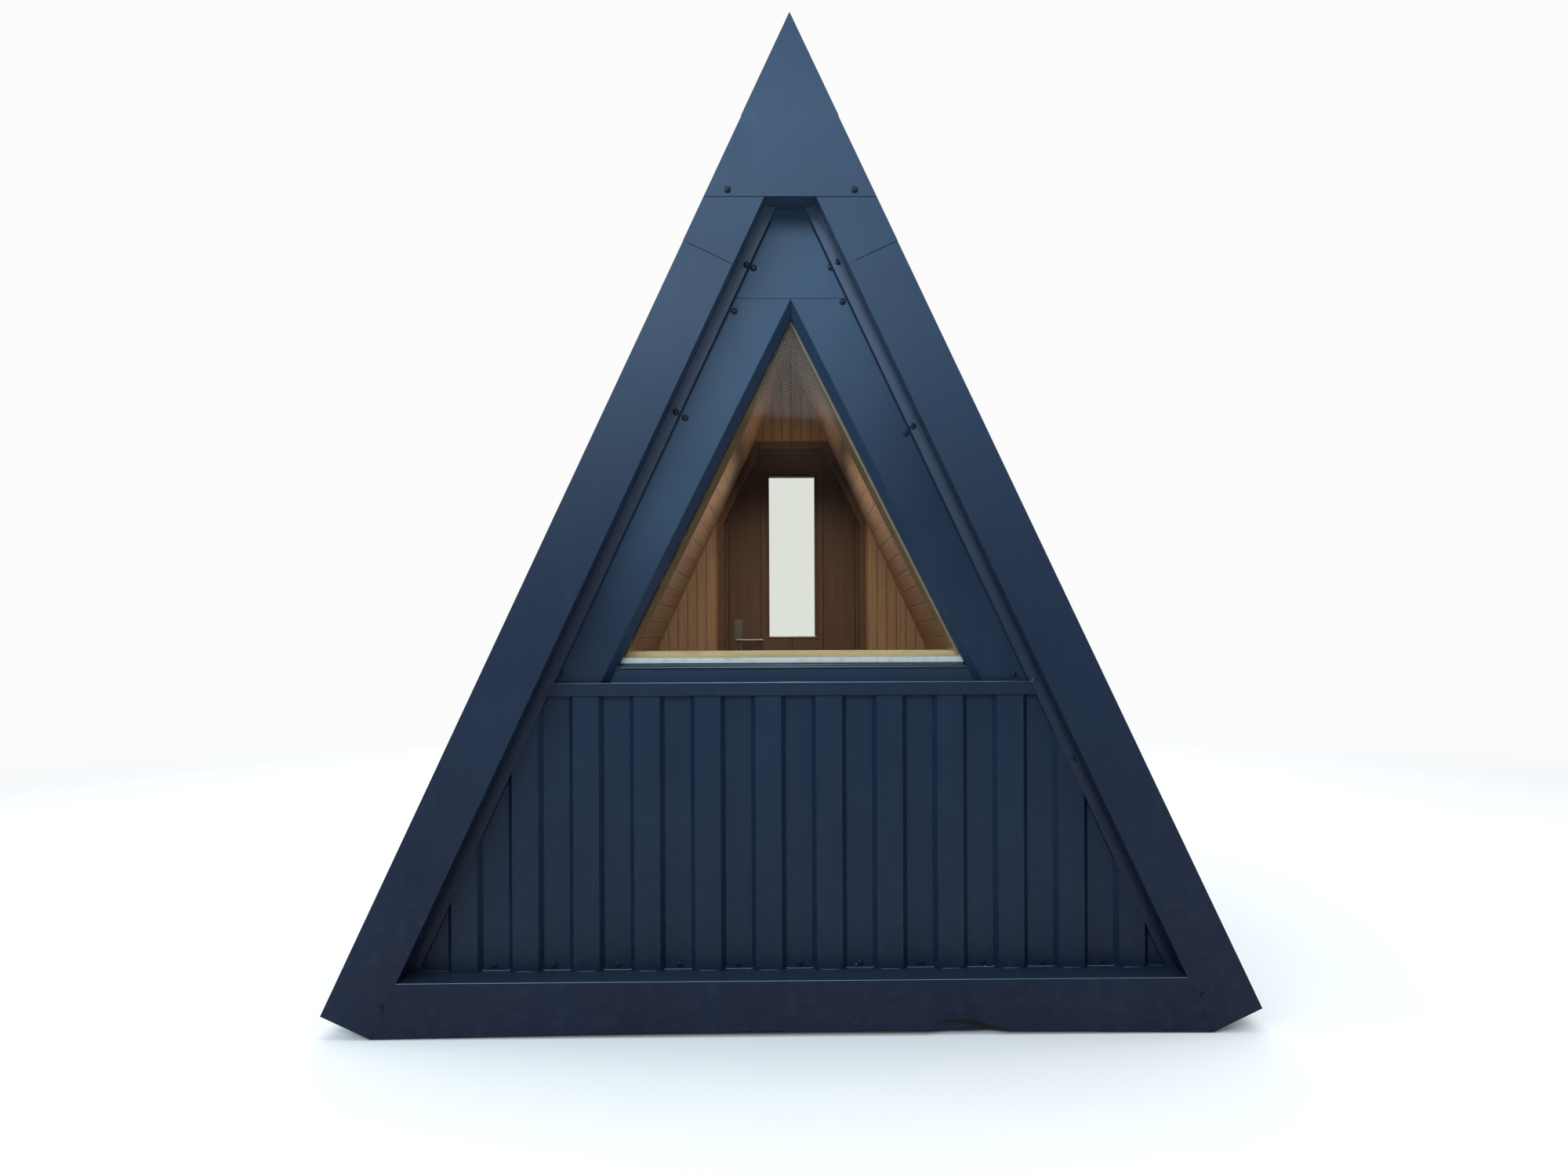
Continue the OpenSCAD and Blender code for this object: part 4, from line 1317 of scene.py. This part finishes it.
@dataclass
class Base:
    """Runners, joists and deck."""

    paints: Paints
    runner_x: float = 0.750
    runner_w: float = 0.095
    runner_h: float = 0.045
    runner_end: float = 1.3477
    runner_edge: float = 0.003
    nose: float = 0.060
    blunt: float = 0.008

    def build(self) -> None:
        """Dresses the base. A runner's underside rises at its ends by a quarter of an ellipse."""
        self.paints.dress(Finish.JOIST, "floor_joists")
        self.paints.dress(Finish.DECK, "floor_deck")
        t = np.linspace(0, np.pi / 2, 9)
        back = self.nose * (1 - np.cos(t))
        rise = (self.runner_h - self.blunt) * (1 - np.sin(t))
        y = np.concatenate([-self.runner_end + back, (self.runner_end - back)[::-1]])
        low = np.concatenate([rise, rise[::-1]])
        box = rounded_box(self.runner_w, 1.0, self.runner_edge)
        box[:, 1] = np.sign(box[:, 1]) * 0.5
        outlines = np.broadcast_to(box, (len(y), *box.shape)).copy()
        outlines[..., 1] *= (self.runner_h - low)[:, None]
        middle = (self.runner_h + low) / 2
        runners = [
            sweep(outlines, np.stack((np.full(len(y), x), y, middle), -1), (0, 0, 1))
            for x in (-self.runner_x, self.runner_x)]
        piece = joined(*runners).piece("runners", "cabin", self.paints, Finish.BEARER)
        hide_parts("skids")


@dataclass
class Door:
    """The brown door, its frame and its metal, with glazing beads round the pane."""

    paints: Paints
    pane_half: float = 0.120
    pane_z: tuple = (1.0160, 1.7990)
    outer_y: float = 1.3017
    inner_y: float = 1.2577
    bead: float = 0.012
    bead_edge: float = 0.0035
    hinge_z: tuple = (0.3340, 0.8538, 1.3736)
    hinge_steps: tuple = (0.018, 0.082)
    hinge_y: float = 1.3047
    leaf_x: float = 0.2910
    post_x: float = 0.3315
    plate_x: float = -0.2555
    plate_z: tuple = (0.9240, 1.0960)
    plate_y: tuple = (1.3077, 1.2517)
    keyhole_up: float = 0.040
    head: Rivet = Rivet(0.0034, 0.0010)
    keyhole: Rivet = Rivet(0.0046, 0.0004)

    def build(self) -> None:
        """Dresses the door, lays four beads on each side of the pane and sets the small screws."""
        p = self.paints
        p.dress(Finish.DOOR, "door_posts", "door_head", "door_threshold", "door_leaf")
        p.dress(Finish.STEEL, "door_handle", "door_hinge_pins", "door_hinge_straps")
        p.dress(Finish.GLASS, "door_glass")
        outline = rounded_box(self.bead, self.bead, self.bead_edge)
        x, (z0, z1), h = self.pane_half, self.pane_z, self.bead / 2
        lengths = []
        for y in (self.outer_y - h, self.inner_y + h):
            lengths += [
                bar(outline, (-x, y, z0 + h), (x, y, z0 + h), (0, 0, 1)),
                bar(outline, (-x, y, z1 - h), (x, y, z1 - h), (0, 0, 1)),
                bar(outline, (-x + h, y, z0 + 2 * h), (-x + h, y, z1 - 2 * h), (1, 0, 0)),
                bar(outline, (x - h, y, z0 + 2 * h), (x - h, y, z1 - 2 * h), (1, 0, 0)),
            ]
        joined(*lengths).piece("door_glazing_beads", "door", p, Finish.DOOR)
        self.screws()

    def screws(self) -> None:
        """Sets two low round heads in each hinge and lever plate, and a keyhole in the latter."""
        head, hole = self.head.shape(), self.keyhole.shape()
        half = CABIN_LEN / 2
        levels = [z + step for z in self.hinge_z for step in self.hinge_steps]
        leaf, post = (
            FRONT.set(head, np.array([(-x, z, self.hinge_y - half) for z in levels]), seed)
            for x, seed in ((self.leaf_x, 31), (self.post_x, 32)))
        steel = (self.paints, Finish.STEEL, Finish.STEEL)
        post.piece("hinge_frame_screws", "cabin", *steel, smooth=True)
        outer, inner = self.plate_y
        outside = np.array([(-self.plate_x, z, outer - half) for z in self.plate_z])
        inside = np.array([(self.plate_x, z, -inner - half) for z in self.plate_z])
        heads = joined(leaf, FRONT.set(head, outside, 33), REAR.set(head, inside, 34))
        heads.piece("door_plate_screws", "door", *steel, smooth=True)
        up = np.array([[0.0, self.keyhole_up, 0.0]])
        holes = joined(FRONT.set(hole, outside[:1] + up, 35), REAR.set(hole, inside[:1] + up, 36))
        holes.piece("door_keyholes", "door", self.paints, Finish.RUBBER, Finish.RUBBER, smooth=True)


@dataclass(frozen=True)
class Lamp:
    """A soft rectangular lamp at one point that faces another. The camera doesn't see it."""

    name: str
    at: Vector3
    to: Vector3
    size: tuple
    power: float
    colour: Colour = (1.0, 1.0, 1.0)
    spread: float = 180.0

    def build(self) -> None:
        """Makes the lamp, tilted about X and then turned about Z so that it shines on its mark."""
        lamp = bpy.data.lights.new(self.name, "AREA")
        lamp.shape, (lamp.size, lamp.size_y) = "RECTANGLE", self.size
        lamp.energy, lamp.color, lamp.spread = self.power, self.colour, math.radians(self.spread)
        thing = bpy.data.objects.new(self.name, lamp)
        way = np.array(self.to) - np.array(self.at)
        thing.location = self.at
        thing.rotation_euler = (
            math.acos(-way[2] / np.linalg.norm(way)), 0.0,
            math.atan2(way[1], way[0]) - math.pi / 2)
        thing.visible_camera = False
        bpy.context.scene.collection.objects.link(thing)


@dataclass
class Studio:
    """Pale floor, soft lights, and the camera that stands where the photograph was taken."""

    paints: Paints
    lamps: tuple = (
        Lamp("front", (-2.9, -7.4, 4.35), (-0.4, 0.0, 1.9), (8.0, 2.7), 470.0, (0.66, 0.86, 1.0)),
        Lamp("overhead", (0.0, 0.0, 8.0), (0.0, 0.001, 0.0), (9.0, 9.0), 340.0),
        Lamp("left_fill", (-6.5, -1.0, 4.6), (0.0, 0.0, 1.2), (4.0, 4.0), 150.0),
        Lamp("right_fill", (6.5, -1.0, 4.6), (0.0, 0.0, 1.2), (4.0, 4.0), 130.0),
        Lamp("back", (0.0, 7.6, 4.1), (0.0, 0.0, 1.6), (8.5, 3.2), 360.0, (0.80, 0.92, 1.0)),
        Lamp("room", (0.0, 0.1, 1.87), (0.0, 0.1, 0.0), (1.5, 0.20), 24.0, (1.0, 0.82, 0.64),
             140.0),
        Lamp("ridge", (0.0, 0.1, 1.80), (0.0, 0.1, 3.0), (1.8, 0.05), 2.2, (1.0, 0.76, 0.54)))
    floor_half: float = 30.0
    floor_points: int = 13
    sky_light: tuple = (0.90, 0.95, 1.0, 1.0)
    sky_power: float = 0.50
    backdrop: tuple = (0.97, 0.97, 0.97, 1.0)
    camera_at: Vector3 = (0.0, -4.354, 1.015)
    sensor: float = 36.0
    lens: float = 27.04
    shift: tuple = (-0.0157, 0.0325)
    roll: float = math.radians(0.25)
    yaw: float = math.radians(-0.80)

    def build(self) -> None:
        """Builds all of it."""
        self.floor()
        self.sky()
        for lamp in self.lamps:
            lamp.build()
        self.camera()

    def floor(self) -> None:
        """A large level sheet under the cabin, which fades into the pale backdrop."""
        count = self.floor_points
        side = np.linspace(-self.floor_half, self.floor_half, count)
        x, y = np.meshgrid(side, side)
        points = np.stack((x.ravel(), y.ravel(), np.zeros(x.size)), -1)
        mesh = bpy.data.meshes.new("floor")
        mesh.from_pydata(points.tolist(), [], grid_faces(count, count, False).tolist())
        mesh.materials.append(self.paints.of(Finish.FLOOR))
        thing = bpy.data.objects.new("floor", mesh)
        bpy.context.scene.collection.objects.link(thing)

    def sky(self) -> None:
        """An even world: a white backdrop that gives a softer, slightly cool light."""
        world = bpy.data.worlds.new("studio")
        bpy.context.scene.world = world
        world.use_nodes = True
        nodes, links = world.node_tree.nodes, world.node_tree.links
        light, seen = nodes["Background"], nodes.new("ShaderNodeBackground")
        light.inputs["Color"].default_value = self.sky_light
        light.inputs["Strength"].default_value = self.sky_power
        seen.inputs["Strength"].default_value = 1.0
        seen.inputs["Color"].default_value = self.backdrop
        both = nodes.new("ShaderNodeMixShader")
        links.new(nodes.new("ShaderNodeLightPath").outputs["Is Camera Ray"], both.inputs[0])
        links.new(light.outputs[0], both.inputs[1])
        links.new(seen.outputs[0], both.inputs[2])
        links.new(both.outputs[0], nodes["World Output"].inputs["Surface"])

    def camera(self) -> None:
        """The camera, level but for a slight roll, and turned a little to the right."""
        lens = bpy.data.cameras.new("camera")
        lens.sensor_width, lens.lens = self.sensor, self.lens
        lens.shift_x, lens.shift_y = self.shift
        thing = bpy.data.objects.new("camera", lens)
        thing.location = self.camera_at
        thing.rotation_euler = (math.pi / 2, self.roll, self.yaw)
        bpy.context.scene.collection.objects.link(thing)
        bpy.context.scene.camera = thing


def main() -> None:
    """Builds the studio and each sub-assembly in order."""
    logging.basicConfig(level=logging.INFO, format="%(name)s: %(message)s")
    bpy.context.scene.view_settings.view_transform = "Standard"
    paints = Paints()
    for kind in (Studio, Base, Roof, WindowGable, DoorGable, Door):
        kind(paints).build()
        log.info("built %s", kind.__name__)


if __name__ == "__main__":
    main()
